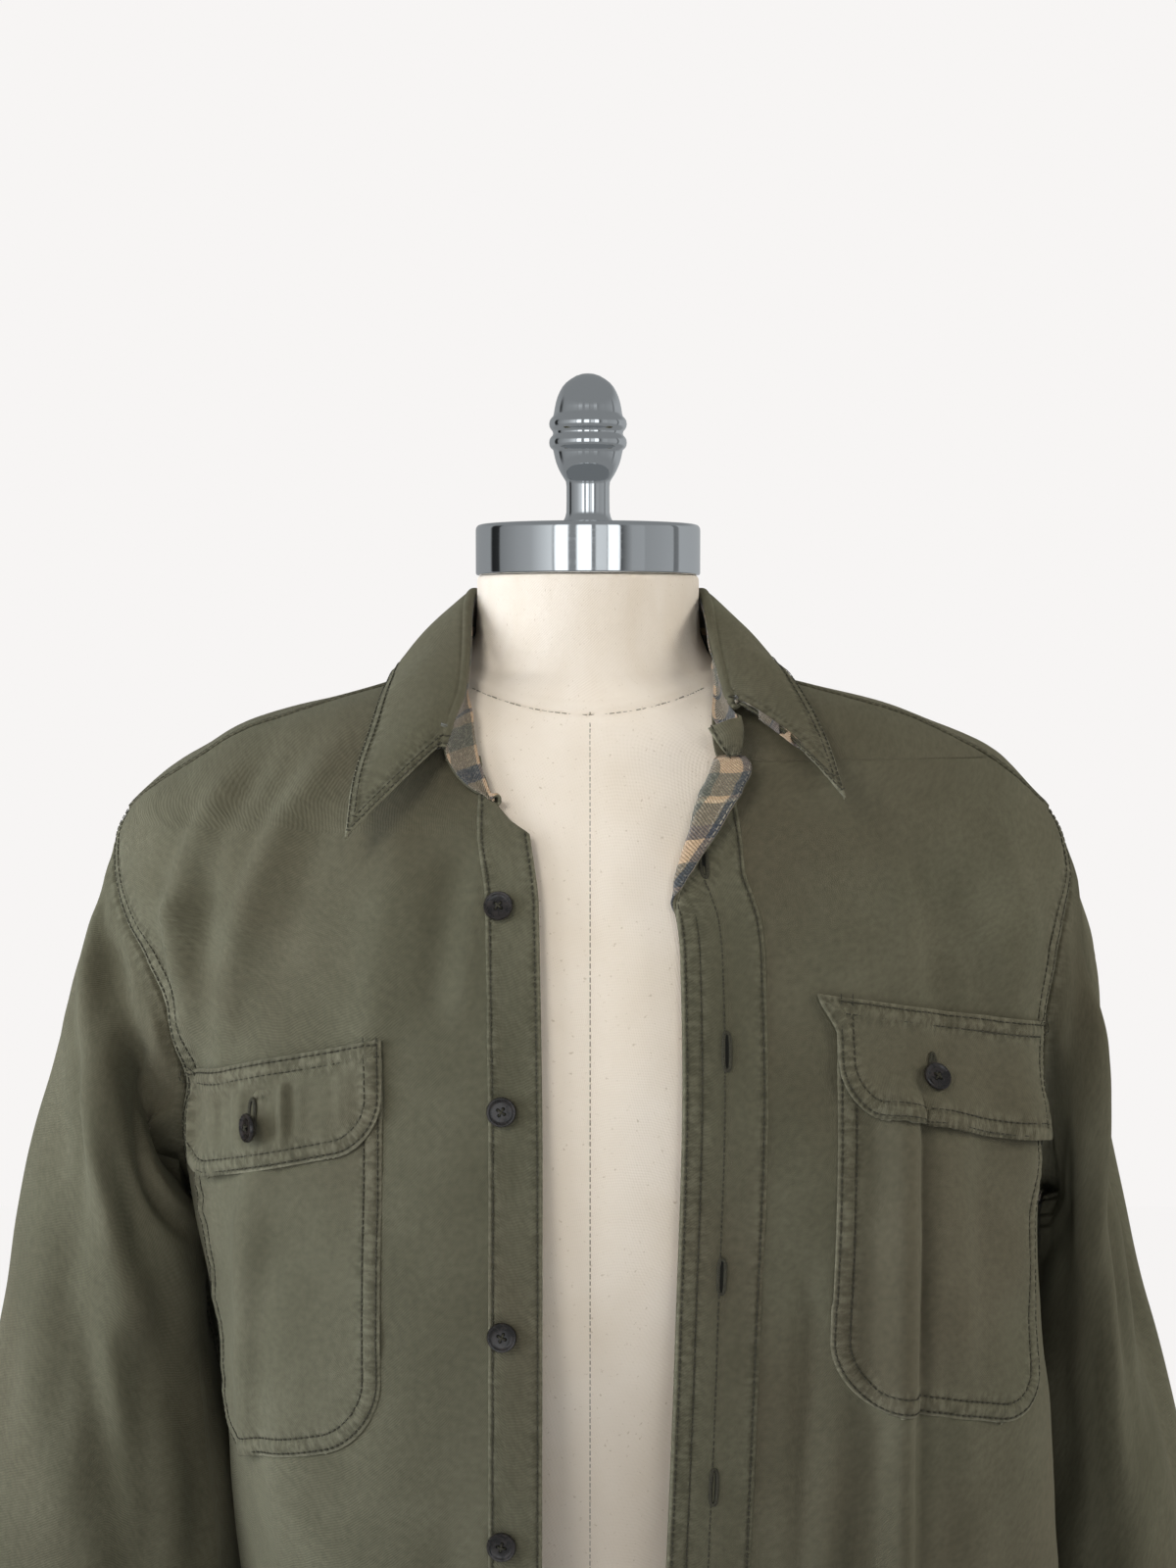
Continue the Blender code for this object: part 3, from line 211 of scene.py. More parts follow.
def ringCurve(ring):
    size = {name: float(at(ring)) for name, at in bodyAt.items()}
    turn = np.linspace(-1, 1, 1441)
    angle = turn * math.pi
    sine = np.abs(np.sin(angle)) ** (2 / size["squareness"])
    cosine = np.abs(np.cos(angle)) ** (2 / size["squareness"])
    sideY = np.where(angle < 0, size["rightY"], size["leftY"])
    x = np.where(angle < 0, -size["rightX"], size["leftX"]) * sine
    y = np.where(np.cos(angle) > 0, sideY - (size["front"] + sideY) * cosine,
                 sideY + (size["back"] - sideY) * cosine)
    length = np.concatenate([[0], np.cumsum(np.hypot(np.diff(x), np.diff(y)))])
    return {"turn": turn, "x": x, "y": y, "run": length - length[720], "size": size, "ring": ring}


curveCache = {}


def curveOf(ring):
    key = round(float(ring), 7)
    if key not in curveCache:
        curveCache[key] = ringCurve(key)
    return curveCache[key]


def runAtX(ring, side, x):
    c = curveOf(ring)
    front = (np.abs(c["turn"]) <= 0.5) & (c["turn"] * side >= 0)
    order = np.argsort(np.abs(c["x"][front]))
    return float(np.interp(x, np.abs(c["x"][front])[order], c["run"][front][order]))


def runAtY(ring, side, y):
    c = curveOf(ring)
    half = c["turn"] * side > 0
    order = np.argsort(c["y"][half])
    y = c["size"]["rightY" if side < 0 else "leftY"] if y is None else y
    return float(np.interp(y, c["y"][half][order], c["run"][half][order]))


def ringPoints(ring, runs):
    c = curveOf(ring)
    whole = c["run"][-1] - c["run"][0]
    run = np.concatenate([c["run"][:-1] - whole, c["run"], c["run"][1:] + whole])
    x = np.interp(runs, run, np.concatenate([c["x"][:-1], c["x"], c["x"][1:]]))
    y = np.interp(runs, run, np.concatenate([c["y"][:-1], c["y"], c["y"][1:]]))
    out = np.where(x < 0, np.abs(x) / c["size"]["rightX"], np.abs(x) / c["size"]["leftX"])
    sag = body["sag"] * float(ease(ring, body["sagFrom"], body["sagFull"])) * out ** body["sagPower"]
    return np.stack([x, y, high - ring - sag], axis=-1)


def seamRun(side, ring, seam):
    if ring >= body["underarm"] - 1e-6:
        return runAtY(ring, side, None)
    sideY = curveOf(ring)["size"]["rightY" if side < 0 else "leftY"]
    ys = [sideY if y is None else y for y in seam[side]]
    return runAtY(ring, side, float(smoothCurve(seam["ring"], ys)(ring)))


def edgeRun(side, ring):
    rings, xs = neckline[side] if ring < neckline[side][0][-1] else frontEdge[side]
    return abs(runAtX(ring, side, float(smoothCurve(rings, xs)(ring))))


def foldHeights(folds, across, along, throughHem=True):
    total = np.zeros(np.broadcast(across, along).shape)
    for a0, b0, a1, b1, bow, width, height in folds:
        da, db = a1 - a0, b1 - b0
        long = math.hypot(da, db)
        share = ((across - a0) * da + (along - b0) * db) / long ** 2
        sideways = ((across - a0) * db - (along - b0) * da) / long
        inside = np.clip(share, 0, 1)
        sideways = sideways - bow * 4 * inside * (1 - inside)
        fade = ease(share, -0.02, 0.22)
        if not (throughHem and b1 >= body["hem"]):
            fade = fade * (1 - ease(share, 0.80, 1.10))
        total = total + height * np.exp(-(sideways / width) ** 2) * fade
    return total


# Smaller folds as they are seen from in front or behind: three places (x, drop) along each,
# width on its left and on its right as seen in front, and height, all in millimetres.
frontFolds = (
    # wearer's right, sweeping down from the shoulder seam to the armhole
    (-112, 24, -160, 110, -176, 210, 7, 5, 2.8), (-146, 30, -182, 95, -186, 170, 6, 6, -2.6),
    (-128, 24, -170, 105, -184, 195, 6, 5, -2.2), (-165, 42, -196, 92, -200, 150, 6, 5, 2.8),
    (-182, 56, -205, 95, -206, 130, 5, 4, -2.2), (-92, 26, -128, 80, -160, 190, 8, 9, -2.0),
    (-80, 60, -98, 130, -100, 230, 10, 9, 2.0), (-48, 78, -56, 120, -60, 175, 6, 6, 2.0),
    (-66, 80, -72, 120, -74, 165, 6, 6, -1.2), (-198, 108, -199, 135, -190, 178, 5, 4, 2.4),
    (-203, 118, -206, 140, -196, 175, 5, 4, -2.6),
    # wearer's left
    (150, 80, 162, 120, 164, 165, 5, 7, -2.6), (138, 80, 150, 120, 150, 162, 8, 6, 1.6),
    (174, 110, 186, 140, 192, 168, 6, 6, -1.6), (96, 66, 112, 110, 118, 165, 9, 9, 1.3),
    (118, 40, 140, 90, 148, 150, 9, 8, -1.1), (186, 60, 210, 100, 216, 150, 6, 6, 2.2),
    # below the pockets
    (-150, 250, -160, 300, -166, 400, 9, 7, 2.6), (-120, 400, -130, 480, -140, 600, 12, 9, 1.8),
    (-60, 380, -74, 480, -84, 640, 10, 12, -2.0), (-96, 420, -104, 520, -112, 640, 12, 10, 1.6),
    (104, 290, 102, 340, 93, 620, 5, 8, -3.6), (116, 330, 116, 420, 110, 620, 9, 7, 2.2),
    (145, 190, 146, 330, 148, 735, 9, 34, 11.0), (153, 192, 154, 330, 155, 735, 3, 6, -6.0),
    (131, 355, 136, 400, 142, 620, 4, 8, -2.6), (182, 200, 186, 300, 190, 420, 8, 8, -2.2),
    (140, 250, 144, 330, 142, 620, 8, 6, 2.0), (196, 300, 200, 420, 204, 600, 12, 10, -2.0),
    (64, 360, 60, 460, 52, 620, 8, 8, 1.2),
)
backFolds = (
    (-120, 125, -132, 240, -120, 420, 14, 12, 2.6), (-70, 125, -66, 260, -78, 480, 16, 14, -2.4),
    (-20, 130, -10, 300, -24, 560, 18, 16, 2.2), (40, 125, 52, 260, 40, 470, 16, 14, -2.6),
    (96, 125, 110, 250, 104, 500, 14, 16, 2.8), (150, 150, 158, 260, 140, 420, 12, 14, -2.6),
    (-170, 170, -168, 270, -150, 400, 10, 12, -2.8), (-150, 300, -120, 340, -60, 350, 12, 12, 2.0),
    (120, 330, 80, 372, 20, 380, 12, 12, 2.2), (-100, 420, -96, 560, -110, 735, 16, 16, 3.2),
    (70, 430, 76, 580, 60, 735, 18, 16, 3.0), (-30, 480, -36, 600, -30, 735, 18, 18, -2.6),
    (130, 440, 140, 580, 132, 735, 16, 16, -3.0), (-150, 440, -152, 600, -160, 735, 14, 14, -2.4),
    (-205, 90, -196, 140, -190, 200, 7, 7, 2.4), (200, 90, 196, 140, 200, 200, 7, 7, 2.4),
)


def pictureFolds(folds, x, drop, behind):
    total = np.zeros(x.shape)
    t = np.linspace(0, 1, 25)
    for x0, d0, x1, d1, x2, d2, left, right, height in folds:
        line = np.stack([(1 - t) ** 2 * a + 2 * t * (1 - t) * (2 * b - (a + c) / 2) + t * t * c
                         for a, b, c in ((x0, x1, x2), (d0, d1, d2))], axis=-1) * mm
        low = line.min(axis=0) - 4 * max(left, right) * mm
        top = line.max(axis=0) + 4 * max(left, right) * mm
        near = (x > low[0]) & (x < top[0]) & (drop > low[1]) & (drop < top[1]) & behind
        if not near.any():
            continue
        px, pd = x[near][:, None], drop[near][:, None]
        a, step = line[:-1], np.diff(line, axis=0)
        share = np.clip(((px - a[:, 0]) * step[:, 0] + (pd - a[:, 1]) * step[:, 1])
                        / (step ** 2).sum(axis=1), 0, 1)
        gapX, gapD = px - a[:, 0] - share * step[:, 0], pd - a[:, 1] - share * step[:, 1]
        away = np.hypot(gapX, gapD)
        best = away.argmin(axis=1)
        rows = np.arange(len(best))
        along = (best + share[rows, best]) / (len(t) - 1)
        onLeft = (gapX * step[:, 1] - gapD * step[:, 0])[rows, best] * np.sign(d2 - d0 + 1e-9) < 0
        width = np.where(onLeft, left, right) * mm
        fade = ease(along, 0.0, 0.25) * (1 if d2 >= 735 else 1 - ease(along, 0.72, 1.0))
        total[near] += height * mm * np.exp(-(away[rows, best] / width) ** 2) * fade
    return total


def bodyCloth(us, vs, fromBack):
    rows, runs = [], []
    for ring in vs:
        c = curveOf(ring)
        run = us if not fromBack else np.where(us > 0, c["run"][-1] - us, c["run"][0] - us)
        rows.append(ringPoints(ring, run))
        runs.append(run)
    points, runs = np.array(rows), np.array(runs)
    rings = np.broadcast_to(vs[:, None], runs.shape)
    plain = Cloth(us, vs, points, lambda p: p * np.array([0, 0, 1]))
    x, y = points[..., 0], points[..., 1]
    drop = high - points[..., 2]
    height = foldHeights(bodyFolds, runs, rings)
    front = y < -0.01
    height = height + pictureFolds(frontFolds, x, drop, front) + pictureFolds(backFolds, x, drop, ~front & (y > .02))
    height = height + .0007 * softNoise(runs, rings, (.030, .090), 3) + .0004 * softNoise(runs, rings, .022, 4)
    points = points + plain.normals * height[..., None]
    # the hem's curve: the lowest rings rise towards the side seams
    low = ease(vs, body["hemCurveFrom"], body["hem"])[:, None]
    share = np.zeros(runs.shape)
    for i, ring in enumerate(vs):
        for side in (-1, 1):
            half = us * side > 0
            end = abs(seamRun(side, max(ring, body["underarm"]), frontSeam))
            if fromBack:
                c = curveOf(ring)
                whole = abs(c["run"][-1] if side > 0 else c["run"][0])
                share[i, half] = np.clip(np.abs(us[half]) / (whole - end), 0, 1)
            else:
                start = edgeRun(side, ring)
                share[i, half] = np.clip((np.abs(us[half]) - start) / (end - start), 0, 1)
    points[..., 2] += body["hemRise"] * low * share ** 3
    return Cloth(us, vs, points, lambda p: p * np.array([0, 0, 1]))


ringsFine = np.unique(np.concatenate([np.arange(0, .076, .0006), np.arange(.076, .125, .0016),
                                      np.arange(.125, body["hem"], .0025), [body["hem"]]]))
frontMap = bodyCloth(np.arange(-.39, .3901, .0025), ringsFine, False)
backMap = bodyCloth(np.arange(-.34, .3401, .0025), ringsFine, True)
print("body surfaces ready")

# materials

def linear(hexColour):
    parts = [int(hexColour[i:i + 2], 16) / 255 for i in (1, 3, 5)]
    return (*[c / 12.92 if c <= 0.04045 else ((c + 0.055) / 1.055) ** 2.4 for c in parts], 1)


def add(tree, kind, inputs=None, out=0, stops=(), interpolation="LINEAR", **settings):
    # a node with its settings, its inputs set to values or linked to sockets, and a ramp's stops; gives one output
    made = tree.nodes.new(kind if "Node" in kind else "ShaderNode" + kind)
    for name, value in settings.items():
        setattr(made, name, value)
    for key, value in (inputs or {}).items():
        if isinstance(value, bpy.types.NodeSocket):
            tree.links.new(value, made.inputs[key])
        else:
            made.inputs[key].default_value = linear(value) if isinstance(value, str) and value[0] == "#" else value
    if stops:
        made.color_ramp.interpolation = interpolation
        elements = made.color_ramp.elements
        while len(elements) < len(stops):
            elements.new(0.5)
        for element, (place, colour) in zip(elements, stops):
            element.position = place
            element.color = linear(colour) if isinstance(colour, str) else (colour, colour, colour, 1)
    return made.outputs[out] if made.outputs else made


def layered(tree, colour, *layers):
    # colours laid over one another, each by its factor or by a (source, low, high) pair of ramp stops
    for factor, over in layers:
        if isinstance(factor, tuple):
            factor = add(tree, "ValToRGB", {0: factor[0]}, stops=factor[1:])
        colour = add(tree, "Mix", {0: factor, 6: colour, 7: over}, out=2, data_type="RGBA")
    return colour


def newMaterial(name, onCloth=True):
    # an empty material, its tree, and places on the cloth's own map or else on the object
    made = bpy.data.materials.new(name)
    made.use_nodes = True
    tree = made.node_tree
    tree.nodes.clear()
    place = add(tree, "UVMap", uv_map="cloth") if onCloth else add(tree, "TexCoord", out="Object")
    return made, tree, place


def finish(made, colour, rough, height=None, depth=.0002, strength=1, **shader):
    inputs = {"Base Color": colour, "Roughness": rough}
    inputs.update({name.replace("_", " "): value for name, value in shader.items()})
    if height is not None:
        bump = {"Height": height, "Distance": depth, "Strength": strength}
        inputs["Normal"] = add(made.node_tree, "Bump", bump)
    add(made.node_tree, "OutputMaterial", {0: add(made.node_tree, "BsdfPrincipled", inputs)})
    return made


def shaken(tree, uv, scale, by):
    # the map's places moved a little, so that no rib or stripe is quite straight
    noise = add(tree, "TexNoise", {"Vector": uv, "Scale": scale, "Detail": 2}, out="Color")
    return add(tree, "VectorMath", {0: noise, 1: (by, by, 0), 2: uv}, operation="MULTIPLY_ADD")


def ribs(tree, places, x, y, pitch):
    # waves across a direction, one for each pitch in millimetres
    per = 2 * math.pi / (pitch * mm)
    dot = add(tree, "VectorMath", {0: places, 1: (x * per, y * per, 0)}, out="Value", operation="DOT_PRODUCT")
    return add(tree, "Math", {0: dot}, operation="SINE")


def piled(tree, height, *parts):
    for part, share in parts:
        height = add(tree, "Math", {0: part, 1: share, 2: height}, operation="MULTIPLY_ADD")
    return height


twillLook = {
    # worn is the pale of rubbed edges and also painted highlight on pucker ridges; dark is also painted shade in pucker
    # valleys and stitched lines
    "light": "#6f6e5c", "main": "#5f5e4d", "warm": "#655c4c", "dark": "#35342a", "worn": "#94937f",
    # the real ribs lie 0.6 mm apart, which is too fine to show here
    "ribPitch": 0.9, "ribAngle": 50, "ribDepth": 0.00011, "stitchPitch": 3.3,
}


def makeTwill(name, light, main, warm, dark, worn, ribPitch, ribAngle, ribDepth, stitchPitch):
    # brushed cotton twill: fine slanting ribs, a dull nap, and paler, puckered seams where it has worn; painted
    # highlight on the pucker ridges and painted shade in the pucker valleys and stitched lines
    made, tree, uv = newMaterial(name)
    turn = math.radians(ribAngle)
    rib = ribs(tree, shaken(tree, uv, 160, .0011), -math.sin(turn), math.cos(turn), ribPitch)
    nap, fuzz, wash, tone = [
        add(tree, "TexNoise", {"Vector": uv, "Scale": scale, "Detail": detail, "Roughness": rough})
        for scale, detail, rough in ((900, 3, .7), (300, 3, .6), (13, 4, .55), (5, 3, .5))]
    # seams: the place along the seam, across it, and how strongly it is drawn up
    seam = add(tree, "Attribute", out="Vector", attribute_name="seam")
    along, across, pull = add(tree, "SeparateXYZ", {0: seam}).node.outputs
    flat = add(tree, "CombineXYZ", {0: along, 1: across})
    stretched = add(tree, "Mapping", {0: flat, "Scale": (330, 130, 1)})
    pucker = add(tree, "TexNoise", {"Vector": stretched, "Scale": 1, "Detail": 2, "Roughness": .6})
    # rim: 1 on a folded edge, 0 a little way in; groove: 1 in a stitched line, where painted shade goes, darkest where
    # a stitch goes down
    rim, groove = [add(tree, "Attribute", out="Fac", attribute_name=kind) for kind in ("rim", "groove")]
    # pucker ridges made paler, partly wear and partly painted highlight; pucker valleys made darker, painted shade;
    # folded edges made paler where rubbed
    ridgeWearAndHighlight, valleyShade, rubbed = [
        add(tree, "Math", {0: add(tree, "ValToRGB", {0: source}, stops=stops), 1: where}, operation="MULTIPLY")
        for source, stops, where in ((pucker, ((.46, 0), (.64, .14)), pull), (pucker, ((.36, .22), (.52, 0)), pull),
                                     (fuzz, ((.30, .1575), (.62, .45)), rim))]
    # painted shade along the stitched lines, darkest at the stitch holes
    turns = add(tree, "Math", {0: along, 1: 2 * math.pi / (stitchPitch * mm)}, operation="MULTIPLY")
    dips = piled(tree, .42, (add(tree, "Math", {0: turns}, operation="SINE"), .28))
    sewn = add(tree, "Math", {0: groove, 1: dips}, operation="MULTIPLY")
    colour = layered(tree, main, ((wash, (.35, 0), (.68, 1)), light), ((tone, (.45, 0), (.65, .40)), warm),
                     (piled(tree, .18, (rib, .09)), dark), ((fuzz, (.30, .34), (.70, 0)), dark),
                     (ridgeWearAndHighlight, worn), (valleyShade, dark), (rubbed, worn), (sewn, dark))
    drawn = add(tree, "Math", {0: pucker, 1: pull}, operation="MULTIPLY")
    height = piled(tree, 0, (rib, .5), (nap, 1.1), (fuzz, 1.3), (drawn, 3.5))
    rough = add(tree, "ValToRGB", {0: nap}, stops=((0, .82), (1, .98)))
    return finish(made, colour, rough, height, ribDepth, Sheen_Weight=.20, Sheen_Roughness=.45,
                  Sheen_Tint="#b9bba4", Specular_IOR_Level=.25)


flannelLook = {"ground": "#c3a684", "grey": "#54574b", "navy": "#26313f", "cream": "#d9cdb0", "repeat": 54,
               "ribPitch": 1.1}


def makeFlannel(name, ground, grey, navy, cream, repeat, ribPitch):
    # yarn-dyed cotton flannel in a plain check: the stripes of warp and weft mix where they cross
    made, tree, uv = newMaterial(name)
    moved = shaken(tree, uv, 60, .0016)
    ways = []
    for axis, stops in ((0, ((0, ground), (.25, navy), (.40, ground), (.60, grey), (.84, ground), (.955, navy))),
                        (1, ((0, ground), (.26, grey), (.52, ground), (.56, cream), (.60, grey), (.84, navy)))):
        one = add(tree, "SeparateXYZ", {0: moved}, out=axis)
        turns = add(tree, "Math", {0: one, 1: 1 / (repeat * mm)}, operation="MULTIPLY")
        part = add(tree, "Math", {0: turns}, operation="FRACT")
        ways.append(add(tree, "ValToRGB", {0: part}, stops=stops, interpolation="CONSTANT"))
    rib = ribs(tree, moved, .7, .7, ribPitch)
    darker = add(tree, "Mix", {0: 1, 6: ways[0], 7: ways[1]}, out=2, data_type="RGBA", blend_type="DARKEN")
    fluff = add(tree, "TexNoise", {"Vector": uv, "Scale": 700, "Detail": 4, "Roughness": .7})
    colour = layered(tree, ways[0], ((piled(tree, .5, (rib, .5)), (.30, .30), (.70, .70)), ways[1]), (.55, darker),
                     ((fluff, (.35, .30), (.65, 0)), "#2b2c2a"), ((fluff, (.50, 0), (.75, .35)), "#d8cfbb"))
    return finish(made, colour, .95, piled(tree, rib, (fluff, 2)), Sheen_Weight=.35, Sheen_Roughness=.6,
                  Specular_IOR_Level=.2)


canvasLook = {"cream": "#f6eee1", "shade": "#eadfcd", "fleck": "#b9aa8f", "yarnPitch": 1.0}


def makeCanvas(name, cream, shade, fleck, yarnPitch):
    # plain-woven cotton over padding: a tight even weave with a few dark slubs
    made, tree, place = newMaterial(name)
    weave = add(tree, "Math", {k: ribs(tree, place, x, y, yarnPitch) for k, x, y in ((0, .8, .6), (1, -.6, .8))},
                operation="MULTIPLY")
    cloud, slub = [add(tree, "TexNoise", {"Vector": place, "Scale": scale, "Detail": detail})
                   for scale, detail in ((18, 4), (420, 2))]
    colour = layered(tree, cream, ((cloud, (.35, 0), (.7, .6)), shade), (piled(tree, .07, (weave, .06)), fleck),
                     ((slub, (.66, 0), (.76, .55)), fleck))
    return finish(made, colour, .88, piled(tree, weave, (slub, .8)), .0001, .8, Sheen_Weight=.10,
                  Specular_IOR_Level=.25)


def makeChrome(name):
    # bright chrome plate on turned brass: a clean mirror, with faint wiped smears in its gloss
    made, tree, place = newMaterial(name, False)
    smear = add(tree, "Mapping", {0: place, "Scale": (60, 60, 900)})
    wiped = add(tree, "TexNoise", {"Vector": smear, "Scale": 1, "Detail": 3})
    return finish(made, "#d3d6d8", add(tree, "ValToRGB", {0: wiped}, stops=((.35, .035), (.75, .10))), Metallic=1)


def makeHorn(name):
    # polished dark polyester button: near black, with faint clouds and a soft gloss
    made, tree, place = newMaterial(name, False)
    cloud = add(tree, "TexNoise", {"Vector": place, "Scale": 260, "Detail": 3, "Distortion": 1.5})
    colour = layered(tree, "#141211", ((cloud, (.40, 0), (.70, 1)), "#2b2624"))
    return finish(made, colour, add(tree, "ValToRGB", {0: cloud}, stops=((.3, .22), (.7, .36))), IOR=1.5,
                  Coat_Weight=.25)


def makeThread(name, colour, shade):
    # spun sewing thread: dull, with a slanting twist
    made, tree, place = newMaterial(name, False)
    twist = add(tree, "TexNoise", {"Vector": place, "Scale": 2200, "Detail": 2})
    return finish(made, layered(tree, shade, ((twist, (.35, 0), (.65, 1)), colour)), .8, twist, .00008)


def makeGap(name):
    # painted shade: a near-black sheet in a buttonhole's slit, where there is only shadow
    made, tree, place = newMaterial(name, False)
    thick = add(tree, "TexNoise", {"Vector": place, "Scale": 1500})
    return finish(made, layered(tree, "#0f0f0c", (thick, "#20201a")), .9)


twill = makeTwill("brushedOliveTwill", **twillLook)
flannel = makeFlannel("checkedFlannel", **flannelLook)
canvas = makeCanvas("creamCanvas", **canvasLook)
chrome = makeChrome("chromePlate")
horn = makeHorn("darkButton")
thread = makeThread("oliveThread", "#47463a", "#25241d")
paleThread = makeThread("greyThread", "#a8a292", "#7d776a")
gapDark = makeGap("buttonholeShadow")
print("materials ready")


# making cloth: a grid of points with its seams worked in, walled by Solidify

def lengthsAlong(points, axis=0):
    step = np.linalg.norm(np.diff(points, axis=axis), axis=-1)
    first = np.zeros_like(np.take(step, [0], axis=axis))
    return np.concatenate([first, np.cumsum(step, axis=axis)], axis=axis)


def resampled(line, pitch):
    line = np.asarray(line, float)
    length = lengthsAlong(line, 0)
    count = max(int(length[-1] / pitch) + 1, 4)
    at = np.linspace(0, length[-1], count)
    return np.stack([np.interp(at, length, line[:, k]) for k in range(line.shape[1])], axis=-1)


def nearLine(points, line, reach=.020):
    # for each point within reach of the line, its place along the line and its distance from it
    flat = points.reshape(-1, 3)
    line = resampled(line, .0015)
    tangent, length = unit(np.gradient(line, axis=0)), lengthsAlong(line, 0)
    along, apart = np.zeros(len(flat)), np.full(len(flat), 1.0)
    near = np.flatnonzero(((flat > line.min(axis=0) - reach) & (flat < line.max(axis=0) + reach)).all(axis=1))
    for start in range(0, len(near), 4000):
        part = near[start:start + 4000]
        gap = flat[part][:, None] - line[None]
        square = (gap ** 2).sum(axis=-1)
        best, rows = square.argmin(axis=1), np.arange(len(part))
        shift = np.clip((gap[rows, best] * tangent[best]).sum(axis=-1), -.00076, .00076)
        along[part] = length[best] + shift
        apart[part] = np.sqrt(np.maximum(square[rows, best] - shift ** 2, 0))
    return along.reshape(points.shape[:-1]), apart.reshape(points.shape[:-1])


def seam(line, rows=(.002, .009), pull=1.0, fade=.004, edge=False):
    return {"line": np.asarray(line), "rows": rows, "pull": pull, "fade": fade, "edge": edge}


seamLook = {"groove": .00038, "grooveWidth": .0007, "pucker": .00030, "puckerAlong": .0040}


def sewn(points, normals, seams, seed):
    # sinks the stitched lines, draws the cloth up between them and marks it for the material, which paints shade into
    # the stitched lines and pucker valleys and painted highlight onto the pucker ridges
    height, closest = np.zeros(points.shape[:2]), np.full(points.shape[:2], 1.0)
    marks, groove, rim = np.zeros(points.shape), np.zeros(points.shape[:2]), np.zeros(points.shape[:2])
    for k, one in enumerate(seams):
        along, apart = nearLine(points, one["line"])
        rows = one["rows"]
        stitched = sum(hump(apart, r, seamLook["grooveWidth"]) for r in rows) if rows else 0 * apart
        last = max(rows) if rows else 0
        reach = np.exp(-(np.maximum(apart - last, 0) / one["fade"]) ** 2) * (apart < .9)
        cell = seamLook["puckerAlong"]
        pucker = (.6 * softNoise(along, apart, (cell, .010), seed + k)
                  + .4 * softNoise(along, apart, (cell / 2, .008), seed + k + 50))
        height += reach * pucker * seamLook["pucker"] * one["pull"] - stitched * seamLook["groove"]
        groove = np.maximum(groove, stitched)
        closer = (apart < closest) & (apart < .9)
        closest[closer] = apart[closer]
        marks[closer] = np.stack([along, apart, reach * min(one["pull"], 1.3)], axis=-1)[closer]
        if one["edge"]:
            rim = np.maximum(rim, np.exp(-(apart / .0013) ** 2))
    return points + normals * height[..., None], marks, groove, rim


def closedUp(loop):
    return np.concatenate([loop, loop[:1]])


def gridNormals(points, closed=False):
    if closed:
        across = np.roll(points, -1, axis=1) - np.roll(points, 1, axis=1)
    else:
        across = np.gradient(points, axis=1)
    return unit(np.cross(across, -np.gradient(points, axis=0)))


def outwards(points):
    # the grid's normals, all turned away from the middle of the shirt
    normals = gridNormals(points)
    return normals * np.sign((normals * points * np.array([1, 1, 0])).sum())


def addPiece(name, mesh, nodes):
    made = bpy.data.objects.new(name + "_made", mesh)
    bpy.context.scene.collection.objects.link(made)
    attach(made, "root")
    if nodes:
        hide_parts(*nodes)
    return made


def clothPiece(name, cloth, wall=.0015, faces=(twill, flannel), uvShift=(0, 0), uv=None, out=None, closed=False,
               caps=False):
    # cloth is a grid of points, or what sewn gives; faces are the materials of its outside and its inside
    points, marks, groove, rim = cloth if isinstance(cloth, tuple) else (cloth, 0 * cloth, *[0 * cloth[..., 0]] * 2)
    rows, columns = points.shape[:2]
    if out is not None and (gridNormals(points, closed) * out).sum() < 0:
        # turn the grid round so that its faces look outwards
        points, marks, groove, rim = [a[:, ::-1] for a in (points, marks, groove, rim)]
        uv = None if uv is None else uv[:, ::-1]
    if uv is None:
        wrapped = np.concatenate([points, points[:, :1]], axis=1) if closed else points
        u, v = lengthsAlong(wrapped, 1), -lengthsAlong(wrapped)
        middle = u.shape[1] // 2
        uv = np.stack([u - u[:, middle:middle + 1] + uvShift[0], v + uvShift[1]], axis=-1)
    i, j = np.meshgrid(np.arange(rows - 1), np.arange(columns if closed else columns - 1), indexing="ij")
    place = i * columns + j
    nextPlace = i * columns + (j + 1) % columns
    quads = np.stack([place, place + columns, nextPlace + columns, nextPlace], axis=-1).reshape(-1, 4).tolist()
    corner = np.stack([uv[i, j], uv[i + 1, j], uv[i + 1, j + 1], uv[i, j + 1]], axis=-2).reshape(-1, 2)
    verts, flat = points.reshape(-1, 3), [marks.reshape(-1, 3), groove.ravel(), rim.ravel()]
    if caps:
        # a fan over each end round its middle
        middles = points[[0, -1]].mean(axis=1)
        verts = np.concatenate([verts, middles])
        flat = [np.concatenate([a, 0 * a[:2]]) for a in flat]
        for end, first, turn in ((0, 0, 1), (1, (rows - 1) * columns, -1)):
            for k in range(columns):
                pair = [first + k, first + (k + 1) % columns][::turn]
                quads.append([rows * columns + end, *pair])
                corner = np.append(corner, [verts[n][:2] for n in quads[-1]], axis=0)
    mesh = bpy.data.meshes.new(name)
    mesh.from_pydata(verts.tolist(), [], quads)
    mesh.uv_layers.new(name="cloth").data.foreach_set("uv", corner.ravel())
    for label, kind, slot, values in zip(("seam", "groove", "rim"), ("FLOAT_VECTOR", "FLOAT", "FLOAT"),
                                         ("vector", "value", "value"), flat):
        mesh.attributes.new(label, kind, "POINT").data.foreach_set(slot, values.ravel())
    for one in faces:
        mesh.materials.append(one)
    piece = addPiece(name, mesh, [name])
    if wall:
        solid = piece.modifiers.new("wall", "SOLIDIFY")
        solid.thickness, solid.offset, solid.use_even_offset = wall, -1, False
        solid.material_offset = len(faces) - 1
    mesh.shade_smooth()


stitchLines = {}


